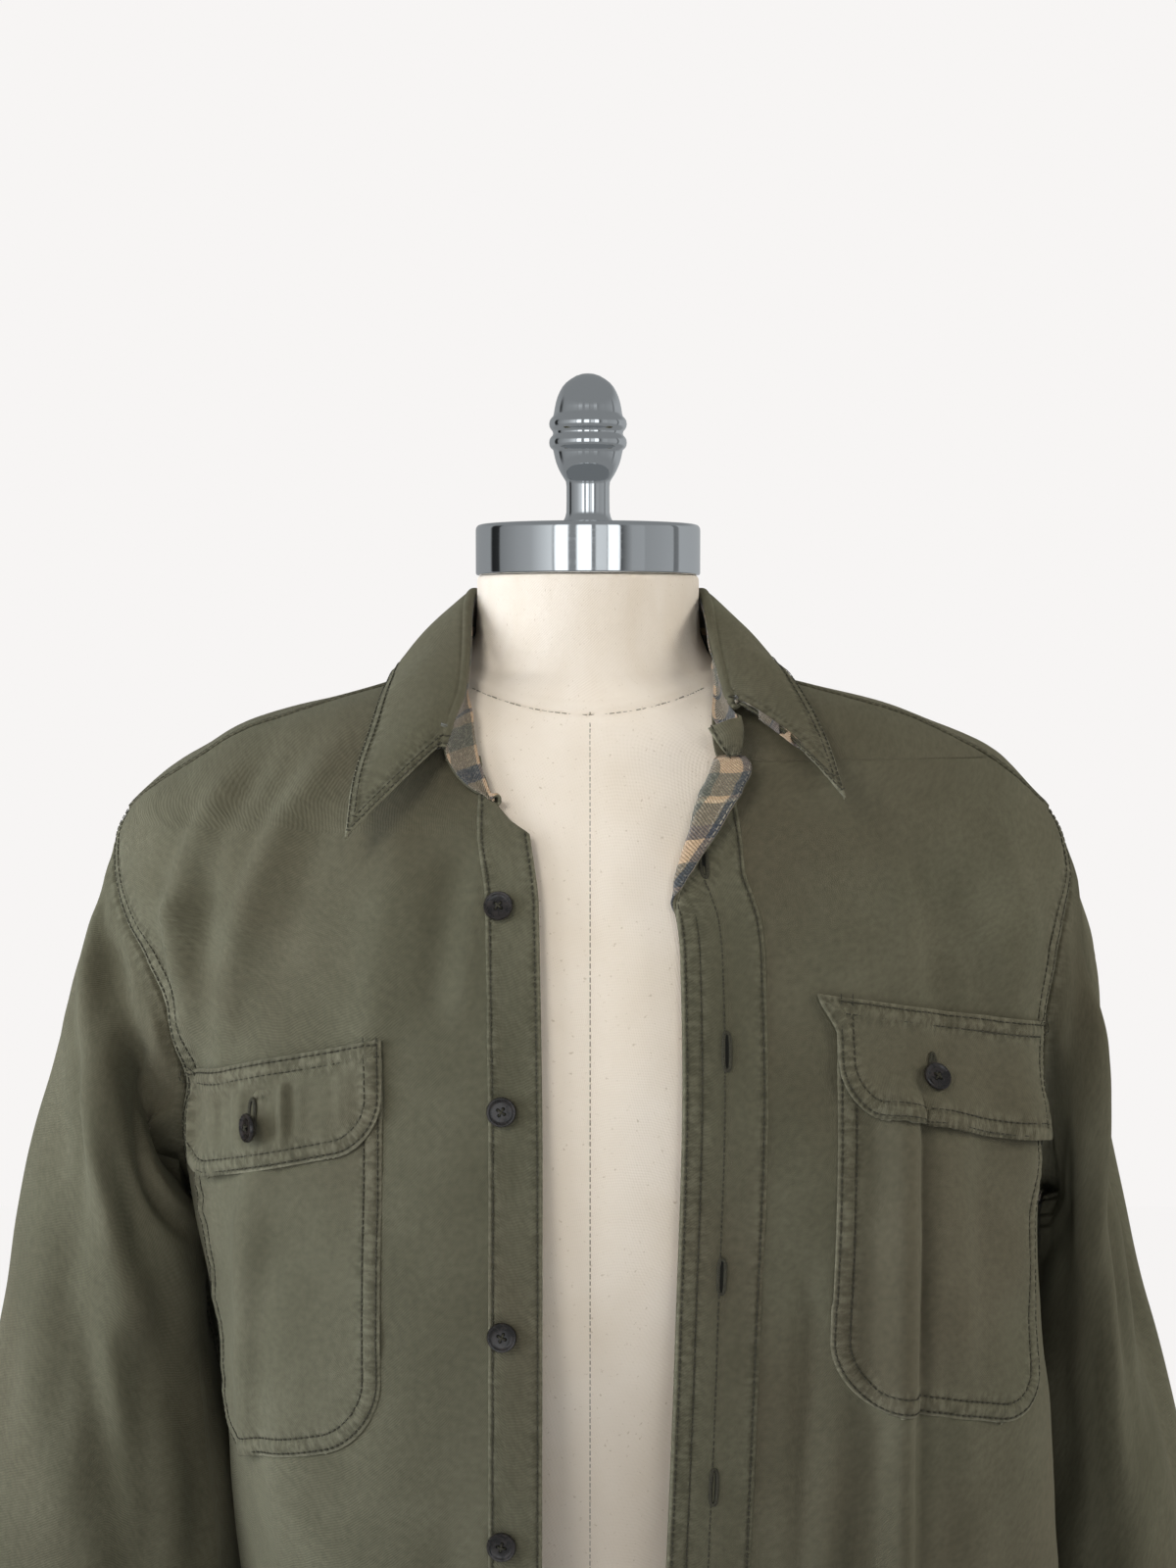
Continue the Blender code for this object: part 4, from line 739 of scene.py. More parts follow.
def stitchRow(group, points, normals, kind="thread"):
    line = np.concatenate([np.asarray(points, float), np.asarray(normals, float)], axis=1)
    if lengthsAlong(line[:, :3])[-1] > .006:
        stitchLines.setdefault((group, kind), []).append(resampled(line, .0011))


def rowAlong(cloth, group, side, endOf, distance, rings, lift):
    # a row of stitches at a distance inside the end of a piece
    u = [side * (endOf(side, r) - distance) for r in rings]
    stitchRow(group, cloth.at(u, rings, lift), cloth.normal(u, rings))


def spread(length, fine, pitch, fineEnd=True):
    # places from 0 to length that are close together at the start, and at the end if fineEnd
    fine = np.array(fine) * mm
    if length < 2.4 * fine[-1]:
        fine = fine * length / (2.4 * fine[-1])
    stop = length - fine[-1] if fineEnd else length
    count = max(int(round((stop - fine[-1]) / pitch)), 1)
    inner = np.linspace(fine[-1], stop, count + 1)[1:-1]
    return np.concatenate([fine, inner, (length - fine[::-1]) if fineEnd else [length]])


seamColumns = (0, .7, 1.4, 2.2, 3.2, 4.6, 6.2, 7.6, 8.4, 9.2, 10.2, 12, 14.5)
hemRings = body["hem"] - np.array([.0125, .0105, .0090, .0080, .0070, .0055, .0035, .0018, 0])
armRows, hemRow = (.0016, .0078), .0080  # stitched lines inside the armholes and above the hem


# fronts

frontSize = {
    "bandRight": .025, "bandLeft": .040, "pocketWidth": .120, "pocketIn": {-1: .0745, 1: .0730},
    "flapTop": .1575, "flapHeight": .049, "mouthBelow": .008, "pocketBottom": .342,
    "pocketRadius": .029, "flapRadius": .023, "rows": (.002, .009),
    "flapRows": (.0020, .0078), "bandLift": .0020, "pocketLift": .0021, "flapLift": .0037, "layerWall": .0012,
    "rollRing": (.0445, .054, .062, .070, .078, .0865, .095, .103, .112),
    "rollWidth": (.0262, .0263, .0263, .0225, .0190, .0145, .0105, .0058, .0),
    "rollRadius": (.0033, .0033, .0033, .0031, .0029, .0025, .0021, .0020, .0020), "rollCorner": .0100,
}


def sideName(side):
    return "right" if side < 0 else "left"


def hitchOf(side):
    return body["hitch"] if side > 0 else 0.0


def frontEnd(side, ring):
    return abs(seamRun(side, ring, frontSeam))


def rollStart(ring):
    # how far from the edge the wearer's left front starts to turn outwards
    width = np.interp(ring, frontSize["rollRing"], frontSize["rollWidth"])
    return np.where(ring < frontSize["rollRing"][0], 0.0, width)


def frontPlace(side, w, ring, lift):
    # the point of a front at a distance from its edge, moved out by lift, with the rolled corner
    w, ring, lift = np.broadcast_arrays(np.asarray(w, float), np.asarray(ring, float), np.asarray(lift, float))
    shape = w.shape
    w, ring, lift = w.ravel(), ring.ravel(), lift.ravel()
    if side > 0:
        below = ring - frontSize["rollRing"][0]
        cut = roundedInset(below, frontSize["rollCorner"]) * (below >= 0)
        w = np.where(w < .040, w + cut * (1 - w / .040), w)
    key = np.unique(ring)
    starts = np.interp(ring, key, [edgeRun(side, r) for r in key])
    points = frontMap.at(side * (starts + w), ring, lift)
    if side > 0:
        turned = np.interp(ring, key, rollStart(key))
        rolled = (w < turned) & (turned > .0004)
        if rolled.any():
            wb, rr, lf = turned[rolled], ring[rolled], lift[rolled]
            u = side * (starts[rolled] + wb)
            base, normal = frontMap.at(u, rr), frontMap.normal(u, rr)
            toEdge = -unit(frontMap.mixed(frontMap.du, u, rr)) * side
            radius = np.interp(rr, frontSize["rollRing"], frontSize["rollRadius"])
            s = wb - w[rolled]
            full = math.pi * .97
            angle = np.minimum(s / radius, full)
            rest = np.maximum(s - full * radius, 0)
            arm = radius - lf
            x = arm * np.sin(angle) + rest * math.cos(full)
            y = radius - arm * np.cos(angle) + rest * math.sin(full)
            points[rolled] = base + toEdge * x[:, None] + normal * y[:, None]
    return points.reshape(shape + (3,))


def frontRings(side):
    rings = np.concatenate([np.arange(0, .064, .0011), np.arange(.064, .126, .0019),
                            np.arange(.126, body["hem"] - .0135, .0047), hemRings])
    if side > 0:
        # one row just above the rolled corner and one along its top
        top = frontSize["rollRing"][0]
        rings = np.sort(np.append(rings[np.abs(rings - top) > .0010], (top - .0007, top + .00005)))
    return rings


def endLine(side, start, stop, step):
    rings = np.arange(start, stop + 1e-9, step)
    return frontMap.at([side * frontEnd(side, r) for r in rings], rings)


def makeFront(side):
    rows, rings = [], frontRings(side)
    starts, ends = [np.array([endOf(side, r) for r in rings]) for endOf in (edgeRun, frontEnd)]
    count = len(spread((ends - starts).max(), seamColumns, .0046))
    for ring, start, end in zip(rings, starts, ends):
        width = end - start + (.0010 if ring < body["armholeTop"] else 0)
        near = np.array(seamColumns) * mm * min(width / .075, 1.0)
        inner = np.linspace(near[-1], width - near[-1], count - 2 * len(near) + 2)[1:-1]
        rows.append(np.concatenate([near, inner, width - near[::-1]]))
    w = np.array(rows)
    ringGrid = np.broadcast_to(rings[:, None], w.shape)
    lift = .00075 - .0011 * ease(w, w[:, -1:] - .004, w[:, -1:]) * (ringGrid < body["armholeTop"])
    points = frontPlace(side, w, ringGrid, lift)
    points = points if side > 0 else points[:, ::-1]
    hem = body["hem"]
    hemLine = frontPlace(side, np.linspace(0, ends[-1] - starts[-1], 60), hem, 0.0)
    seams = [seam(endLine(side, body["armholeTop"], body["underarm"], .002), armRows, 1.3, .004, True),
             seam(endLine(side, body["underarm"], hem, .004), (), .9, .003),
             seam(endLine(side, 0, body["armholeTop"], .001), (), .8, .004),
             seam(hemLine, (hemRow,), 1.2, .004, True)]
    made = sewn(points, outwards(points), seams, 11 + side)
    uv = np.stack([side * (w if side > 0 else w[:, ::-1]), .013 * side - lengthsAlong(made[0])], axis=-1)
    clothPiece("front_" + sideName(side), made, uv=uv)
    for distance in armRows:
        rowAlong(frontMap, "fronts", side, frontEnd, distance,
                 np.arange(body["armholeTop"] + .001, body["underarm"] - .004, .0015), .00085)
    u, ring = side * np.linspace(edgeRun(side, hem) + .003, frontEnd(side, hem) - .002, 60), np.full(60, hem - hemRow)
    stitchRow("fronts", frontMap.at(u, ring, .00085), frontMap.normal(u, ring))


def roundedInset(rise, radius):
    # how far a rounded lower corner's side lies in, at that height above the bottom
    rise = np.clip(rise, 0, radius)
    return radius - np.sqrt(np.maximum(radius ** 2 - (radius - rise) ** 2, 0))


def patchRings(top, bottom, radius, pitch):
    low = bottom - radius * (1 - np.cos(np.linspace(0, math.pi / 2, 26)))
    upper = np.arange(top, bottom - radius, pitch)
    return np.unique(np.round(np.concatenate([upper, low]), 6))


def makePatch(name, side, top, bottom, radius, lift, rowsIn, pull, seed, shape, extra=0.0, outer=1.0, closedTop=False):
    # a pocket or a flap: its distance from the front edge and its rings fill a shape with rounded corners;
    # extra widens its top, outer is the outer corner's share of the radius, shape is how far it stands out
    start, width = frontSize["pocketIn"][side], frontSize["pocketWidth"]
    rings = patchRings(top, bottom, radius, .0017)
    share = np.clip(spread(1.0, np.array((0, .5, 1.2, 2.0, 2.9, 4.2, 6, 7.6, 8.6, 9.6, 11.5, 14)) / width, .0125), 0, 1)
    inset = roundedInset(bottom - rings, radius)[:, None]
    low = start - extra * (1 - ease(rings, top, top + .016))[:, None] + inset
    w = low + (start + width - inset * outer - low) * share[None]
    ringGrid = np.broadcast_to(rings[:, None], w.shape).copy()
    points = frontPlace(side, w, ringGrid, lift)
    normals = frontMap.normal(side * (w + np.array([edgeRun(side, r) for r in rings])[:, None]), ringGrid)
    outline = np.concatenate([points[-1, ::-1], points[::-1, 0], points[0], points[:, -1]])
    points = points + normals * shape(w - start, ringGrid - top)[..., None]
    apart = nearLine(points, outline)[1]
    puff = .0006 * np.exp(-((apart - .0055) / .0028) ** 2) - .0009 * np.exp(-(apart / .0008) ** 2)
    points = points + normals * puff[..., None]
    made = sewn(points, normals, [seam(outline, rowsIn, pull, .004, True)], seed)
    if side < 0:
        made = tuple(a[:, ::-1] for a in made)
    clothPiece(name + sideName(side), made, frontSize["layerWall"], (twill, twill), (.31 * side, .07))
    # rows of stitches inside the outline, which goes round from the inner top corner
    turn = np.linspace(0, math.pi / 2, 16)
    cornerIn, cornerDown = radius * (1 - np.cos(turn)), bottom - radius + radius * np.sin(turn)
    bottomW = np.linspace(start + radius, start + width - radius * outer, 30)[1:-1]
    sideRings = np.linspace(top, bottom - radius, 40)
    lineW = [np.full(40, start), start + cornerIn[1:], bottomW, start + width - cornerIn[::-1] * outer,
             np.full(40, start + width)]
    lineRing = [sideRings, cornerDown[1:], np.full(28, bottom), cornerDown[::-1], sideRings[::-1]]
    if closedTop:
        lineW.append(np.linspace(start + width, start, 40)[1:-1])
        lineRing.append(np.full(38, top))
    lineW, lineRing = np.concatenate(lineW), np.concatenate(lineRing)
    starts = np.array([edgeRun(side, r) for r in lineRing])
    for distance in rowsIn:
        u, v = frontMap.aside(side * (starts + lineW), lineRing, distance * side)
        w, normal = side * u - np.array([edgeRun(side, r) for r in v]), frontMap.normal(u, v)
        stitchRow("fronts", frontPlace(side, w, v, lift + .0001) + normal * shape(w - start, v - top)[:, None], normal)


def flapFlare(side):
    def at(across, down):
        # the flap's free edge stands away from the pocket, most at the outer corner
        free = ease(down, .010, frontSize["flapHeight"])
        if side > 0:
            outer = ease(across, .070, .120)
            return free * (.0012 + .0035 * outer ** 1.5) + .0010 * hump(across, .055, .020) * free
        return (free * (.0010 + .0016 * ease(across, .050, .110)) + .0008 * softNoise(across, down, .020, 31) * free
                + .0028 * softNoise(across, down, (.0042, .080), 33) * ease(down, .009, .016)
                * (1 - ease(down, .030, .042)) * ease(across, -.02, .08))
    return at


def pocketShape(side):
    def at(across, down):
        # soft ridges where the pocket bag is full
        if side < 0:
            ridge = .0040 * hump(across - .060 - .14 * down, .0, .010) * ease(down, .020, .060)
            drawn = .0010 * softNoise(across, down, (.030, .007), 17) * ease(across, .088, .112)
            return ridge + drawn * (1 - ease(down, .150, .176)) + .0008 * softNoise(across, down, .020, 18)
        return .0009 * softNoise(across, down, (.018, .030), 19)
    return at


def makePocketAndFlap(side):
    top = frontSize["flapTop"] - hitchOf(side)
    makePatch("pocket_", side, top + frontSize["mouthBelow"], frontSize["pocketBottom"] - hitchOf(side),
              frontSize["pocketRadius"], frontSize["pocketLift"], frontSize["rows"], 1.15, 61 + side, pocketShape(side))
    extra, outer = (.0090, .25) if side > 0 else (.0, 1.0)
    makePatch("flap_", side, top, top + frontSize["flapHeight"], frontSize["flapRadius"], frontSize["flapLift"],
              frontSize["flapRows"], 1.35, 71 + side, flapFlare(side), extra, outer, True)


def bandPlace(side, w, ring, lift):
    # a band's places: above the top of the front edge they follow the edge's own line, not the neckline
    w, ring, lift = np.broadcast_arrays(np.asarray(w, float), np.asarray(ring, float), np.asarray(lift, float))
    top = frontEdge[side][0][0]
    points = frontPlace(side, w, np.maximum(ring, top + 1e-6), lift)
    above = ring < top
    if side < 0 and above.any():
        starts = np.array([runAtX(r, side, frontEdge[side][1][0]) for r in np.unique(ring[above])])
        start = np.abs(np.interp(ring[above], np.unique(ring[above]), starts))
        points[above] = frontMap.at(side * (start + w[above]), ring[above], lift[above])
    return points


def bandTop(side, w):
    # the ring of the neckline over that place of the band
    top = frontEdge[side][0][0]
    if side > 0:
        return np.full(np.shape(w), top + 1e-5)
    rings, xs = neckline[side]
    return np.interp(frontEdge[side][1][0] + np.asarray(w), xs[::-1], rings[::-1]) + .0004


def lineNormals(line, ahead):
    # the cloth's normals along a line, from a second line beside it
    return unit(np.cross(np.gradient(line, axis=0), ahead - line))


def makeBand(side):
    name, width = ("button_band", frontSize["bandRight"]) if side < 0 else ("buttonhole_band", frontSize["bandLeft"])
    lift, rows = frontSize["bandLift"], ((.002, .009) if side > 0 else (.0022,))
    w = spread(width, (0, .4, 1.0, 1.6, 2.4, 3.4, 5.2, 7.0, 8.2, 9.0, 10), .0021, False)
    w = np.unique(np.concatenate([w, width - np.array([0, .4, 1.0, 1.6, 2.4, 3.4]) * mm]))
    top = bandTop(side, w)
    down = np.unique(np.concatenate([[0, .0008, .0018, .003, .0045], np.arange(.006, .688, .0029), [.688]])) / .688
    ringGrid = top[None, :] + (body["hem"] - top[None, :]) * down[:, None]
    wGrid = np.broadcast_to(w[None, :], ringGrid.shape)
    low = np.exp(-(np.minimum(wGrid, width - wGrid) / .0007) ** 2)
    wave = .0005 * softNoise(wGrid, ringGrid, (.014, .020), 41 + side)
    points = bandPlace(side, wGrid, ringGrid, lift - .0009 * low + wave)
    normals = outwards(points)
    edge = frontPlace(side, 0.0, np.arange(frontEdge[side][0][0], body["hem"] + 1e-9, .003), lift)
    seams = [seam(edge, rows, 1.0, .004, True), seam(bandPlace(side, width, ringGrid[:, -1], lift), (.0022,), 1.0)]
    clothPiece(name, sewn(points, normals, seams, 43 + side), frontSize["layerWall"], (twill, twill), (.2, .4),
               out=normals)
    for distance in [*rows, width - .0022] + ([width - .0205] if side > 0 else []):
        stitched = np.arange(float(bandTop(side, np.array(distance))) + .002, body["hem"] - .003, .0018)
        line, ahead = [bandPlace(side, w, stitched, lift + .0001) for w in (distance, distance + .0012)]
        normal = lineNormals(line, ahead)
        outer = np.sign((normal * line * np.array([1, 1, 0])).sum(axis=1)[-20:].sum())
        stitchRow("fronts", line, normal * outer)


def makeFacing():
    # the flannel behind the wearer's left edge, which shows where the corner rolls out
    top = frontEdge[1][0][0]
    rings = np.concatenate([[top + 1e-5], np.arange(top + .0012, top + .078, .0012)])
    w = np.unique(np.concatenate([np.arange(0, .0401, .0013), [.0400]]))
    ringGrid, wGrid = np.meshgrid(rings, w, indexing="ij")
    points = frontPlace(1, wGrid + .0002, ringGrid, -.0010 + .0002 * softNoise(wGrid, ringGrid, .008, 5))
    uv = np.stack([wGrid + .0168, lengthsAlong(points) + .001], axis=-1)
    clothPiece("band_facing", points, .0008, (flannel, flannel), uv=uv)
    rows = np.arange(top + .006, top + .050, .0012)
    for w in (.0012, .0050):
        line = frontPlace(1, w, rows, -.0016)
        normal = lineNormals(line, frontPlace(1, w + .001, rows, -.0016))
        stitchRow("facing", line, normal * -np.sign(normal[:, 1:2]), "pale")


for side in (-1, 1):
    makeFront(side)
    makeBand(side)
    makePocketAndFlap(side)
makeFacing()
print("fronts, bands and pockets ready")


# yoke and back

backSize = {"lap": .0012, "lapLift": .0009, "rows": (.0018, .0080)}


def halfRound(side, ring):
    return abs(curveOf(ring)["run"][-1 if side > 0 else 0])


def yokeEnd(side, ring):
    table = frontSeam if ring <= body["armholeTop"] + 1e-9 else backSeam
    return halfRound(side, ring) - abs(seamRun(side, ring, table))


def backEnd(side, ring):
    return halfRound(side, ring) - abs(seamRun(side, ring, backSeam))


def armEnd(side, ring):
    return yokeEnd(side, ring) if ring < body["yokeSeam"] else backEnd(side, ring)


def backGrid(rings, endOf, pitch):
    near = np.array(seamColumns) * mm
    count = int(max(endOf(side, r) for side in (-1, 1) for r in rings) / pitch)
    rows = []
    for ring in rings:
        ends = [endOf(side, ring) for side in (-1, 1)]
        right, left = [np.concatenate([np.linspace(0, end - near[-1], count)[:-1], end - near[::-1]]) for end in ends]
        rows.append(np.concatenate([-right[::-1], left[1:]]))
    return np.array(rows)


def makeBackPiece(name, rings, endOf, lift, seams, seed, uvShift):
    u = backGrid(rings, endOf, .0056)
    ringGrid = np.broadcast_to(rings[:, None], u.shape)
    # seen from behind the wearer's left is on the left, so the columns run the other way
    points = backMap.at(u, ringGrid, lift(u, ringGrid))[:, ::-1]
    clothPiece(name, sewn(points, outwards(points), seams, seed), uvShift=uvShift)


def backSeams(endOf, start, stop, step, *look):
    rings = np.arange(start, stop, step)
    return [seam(backMap.at([side * endOf(side, r) for r in rings], rings), *look) for side in (-1, 1)]


def makeYokeAndBack():
    top, low, hem, underarm = body["armholeTop"], body["yokeSeam"], body["hem"], body["underarm"]
    rings = np.unique(np.concatenate([
        np.arange(0, top + 1e-9, .0012), np.arange(top + .0008, low + .0011, .0018), low + np.array(
            [-.0095, -.0085, -.0078, -.007, -.006, -.004, -.0028, -.002, -.0014, -.0007, 0, .0006])]))
    rings = rings[np.concatenate([[True], np.diff(rings) > .00035])]

    def lap(side, ring):
        return yokeEnd(side, ring) + (backSize["lap"] if ring <= top else 0)

    def lift(u, ring):
        ends = np.array([[lap(-1, r), lap(1, r)] for r in ring[:, 0]])
        apart = np.where(u > 0, ends[:, 1:] - u, u + ends[:, :1])
        onFront = np.exp(-(apart / .008) ** 2) * (ring < top)
        return .00075 + backSize["lapLift"] * np.maximum(onFront, np.exp(-((low - ring) / .010) ** 2))

    acrossU = np.linspace(-yokeEnd(-1, .112), yokeEnd(1, .112), 160)
    yokeLine = backMap.at(acrossU, np.full(160, .1125))
    seams = backSeams(lap, 0, top - .0005, .001, (.0014,), .8, .006, True)
    seams += backSeams(yokeEnd, top, low, .0015, armRows, 1.2, .004, True)
    seams.append(seam(yokeLine, backSize["rows"], 1.2, .004, True))
    makeBackPiece("yoke", rings, lap, lift, seams, 91, (.02, .21))

    def backLift(u, ring):
        return .00075 - .0011 * (1 - ease(ring, low - .001, low + .004))

    hemU = np.linspace(-backEnd(-1, hem), backEnd(1, hem), 200)
    seams = backSeams(backEnd, low, underarm, .002, armRows, 1.2, .004, True)
    seams += backSeams(backEnd, underarm, hem, .004, (.0018, .0080), 1.1)
    seams += [seam(yokeLine, (), 1.0, .005), seam(backMap.at(hemU, np.full(200, hem)), (hemRow,), 1.2, .004, True)]
    rings = np.unique(np.concatenate([low + np.array([-.004, -.0005, .0008, .002, .0035, .0055, .008, .011]),
                                      np.arange(low + .014, hem - .0135, .0056), hemRings]))
    makeBackPiece("back", rings, backEnd, backLift, seams, 93, (.05, .11))
    for side in (-1, 1):
        rowAlong(backMap, "back", side, lap, .0014, np.arange(.0006, top - .002, .0009), .0014)
        for distance in backSize["rows"]:
            rowAlong(backMap, "back", side, backEnd, distance, np.arange(underarm + .002, hem - .002, .003), .0008)
        rows = np.arange(top + .001, underarm - .003, .0015)
        for distance in armRows:
            rowAlong(backMap, "back", side, armEnd, distance, rows,
                     np.interp(rows, (.100, .112, .1121, .118), (.0010, .0018, .0008, .00085)))
    for u, ring, up in [(acrossU[2:-2], .1125 - distance, .0017) for distance in backSize["rows"]] \
            + [(hemU[1:-1], hem - hemRow, .00085)]:
        stitchRow("back", backMap.at(u, np.full(len(u), ring), up), backMap.normal(u, np.full(len(u), ring)))


makeYokeAndBack()
print("yoke and back ready")


# sleeves and cuffs

sleeves = {
    -1: {
        "outerX": (.2410, .2465, .2550, .2635, .2735, .2890, .3010, .3130, .3220, .3220, .3110),
        "outerDrop": (.0760, .1000, .1300, .1700, .2150, .2850, .3480, .4250, .5100, .5800, .6230),
        "innerX": (.1980, .2010, .2020, .2010, .1980, .1915, .1840, .1780, .1850, .2080, .2290),
        "innerDrop": (.2640, .2690, .2760, .2880, .3080, .3450, .3900, .4500, .5200, .5820, .6230),
        "middleY": (.0000, .0000, .0000, -.0010, -.0020, -.0040, -.0060, -.0100, -.0170, -.0240, -.0280),
        "halfDepth": (.0700, .0700, .0690, .0680, .0660, .0640, .0630, .0620, .0600, .0520, .0420),
    },
    1: {
        "outerX": (.2480, .2550, .2580, .2600, .2650, .2810, .2970, .3150, .3280, .3290, .3160),
        "outerDrop": (.0800, .1050, .1350, .1750, .2250, .2900, .3500, .4250, .5100, .5800, .6230),
        "innerX": (.2250, .2290, .2310, .2310, .2300, .2270, .2240, .2240, .2260, .2330, .2370),
        "innerDrop": (.2640, .2690, .2760, .2880, .3080, .3450, .3900, .4500, .5200, .5820, .6230),
        "middleY": (.0000, .0030, .0080, .0150, .0230, .0300, .0330, .0300, .0200, .0080, .0000),
        "halfDepth": (.0700, .0700, .0690, .0680, .0670, .0660, .0650, .0640, .0610, .0520, .0420),
    },
}
# (turn, length) to (turn, length) as shares; turn 0 is the underarm, .25 the front, .5 the outer line
sleeveFolds = {
    -1: ((.40, .10, .16, .52, .010, .017, .0080), (.26, .13, .12, .34, .006, .013, -.0090),
         (.34, .18, .20, .70, .012, .016, -.0070), (.66, .12, .84, .46, .010, .016, -.0080),
         (.74, .16, .90, .70, .012, .016, .0060), (.14, .40, .22, .92, .006, .016, -.0050),
         (.60, .30, .74, .80, .010, .014, -.0040), (.46, .34, .36, .86, .008, .014, .0040),
         (.86, .30, .70, .55, .006, .012, .0040), (.52, .20, .58, .60, .006, .012, -.0035)),
    1: ((.30, .08, .24, .80, .006, .014, .0060), (.42, .30, .40, .95, .008, .015, -.0070),
        (.36, .06, .30, .62, .008, .014, -.0070), (.66, .12, .84, .50, .010, .016, -.0080),
        (.78, .20, .88, .74, .010, .016, .0060), (.24, .45, .20, .94, .006, .016, -.0060),
        (.60, .28, .72, .82, .010, .014, -.0040), (.48, .25, .46, .90, .006, .012, .0040),
        (.86, .34, .72, .58, .006, .012, .0040), (.54, .18, .60, .55, .006, .012, -.0035)),
}
sleeveCreases = {  # as frontFolds
    -1: ((-234, 123, -224, 175, -188, 272, 9, 5, -6.0), (-236, 190, -225, 258, -226, 330, 9, 7, -5.5),
         (-239, 176, -208, 270, -165, 362, 12, 5, 9.0), (-240, 150, -232, 250, -214, 330, 8, 8, 4.5),
         (-246, 300, -228, 380, -222, 460, 9, 8, 3.6), (-210, 330, -196, 400, -196, 470, 7, 8, -4.5),
         (-214, 150, -206, 200, -196, 240, 5, 5, 2.6), (-226, 170, -196, 262, -156, 345, 5, 16, -13.0),
         (-262, 190, -262, 300, -258, 420, 9, 9, -3.0), (-206, 250, -196, 300, -186, 350, 4, 4, 2.5)),
    1: ((226, 170, 230, 240, 228, 285, 4, 9, -6.0), (245, 130, 250, 230, 252, 360, 10, 8, 4.5),
        (262, 250, 263, 340, 268, 450, 7, 7, 4.5), (236, 240, 240, 340, 246, 460, 7, 9, -5.5),
        (276, 200, 282, 300, 290, 420, 6, 8, -4.5), (240, 100, 243, 150, 240, 210, 6, 6, -2.6),
        (254, 200, 256, 300, 262, 430, 4, 5, -3.0)),
}
sleeveSize = {"round": .42, "long": .60, "eases": .30, "gap": .0015, "lowGap": .0012, "lowReach": .05,
              "tuck": .0032, "under": .0018}


def armholeLoop(side):
    up = np.arange(body["underarm"], body["armholeTop"] - 1e-9, -.0030)
    down = np.arange(body["armholeTop"] + .0030, body["underarm"] - .001, .0030)
    halves = [(cloth, np.array([side * endOf(side, r) for r in rings]), rings)
              for cloth, endOf, rings in ((frontMap, frontEnd, up), (backMap, armEnd, down))]
    points = closedUp(np.concatenate([cloth.at(u, rings) for cloth, u, rings in halves]))
    normals = closedUp(np.concatenate([cloth.normal(u, rings) for cloth, u, rings in halves]))
    # even places round the loop, a little smoothed
    length = lengthsAlong(points)
    at = np.linspace(0, length[-1], 132, endpoint=False)
    points, normals = [np.stack([np.interp(at, length, a[:, k]) for k in range(3)], axis=-1) for a in (points, normals)]
    normals = unit(normals)
    for _ in range(2):
        points[1:] = points[1:] * .5 + (np.roll(points, 1, 0) + np.roll(points, -1, 0))[1:] * .25
        normals = unit(normals * .5 + (np.roll(normals, 1, 0) + np.roll(normals, -1, 0)) * .25)
    away = unit(np.cross(np.roll(points, -1, 0) - np.roll(points, 1, 0), normals))
    out = points - points.mean(axis=0)
    return points, normals, away if (out * away).sum() < 0 else -away, at / length[-1]


def sleeveCurves(side):
    return {key: smoothCurve(np.linspace(0, 1, len(values)), values) for key, values in sleeves[side].items()}


def sleeveRing(rows, station, turns, side):
    size = {name: float(at(station)) for name, at in rows.items()}
    outer = np.array([side * size["outerX"], size["middleY"], high - size["outerDrop"]])
    inner = np.array([side * size["innerX"], size["middleY"], high - size["innerDrop"]])
    angle = 2 * math.pi * (turns - 0.5)
    middle, reach = (outer + inner) / 2, (outer - inner) / 2
    forward = np.array([0, size["halfDepth"], 0])
    return middle + reach * np.cos(angle)[:, None] - forward * -np.sin(angle)[:, None]


def outward(grid):
    normals = gridNormals(grid, closed=True)
    away = grid - grid.mean(axis=1, keepdims=True)
    return normals if (normals * away).sum() > 0 else -normals


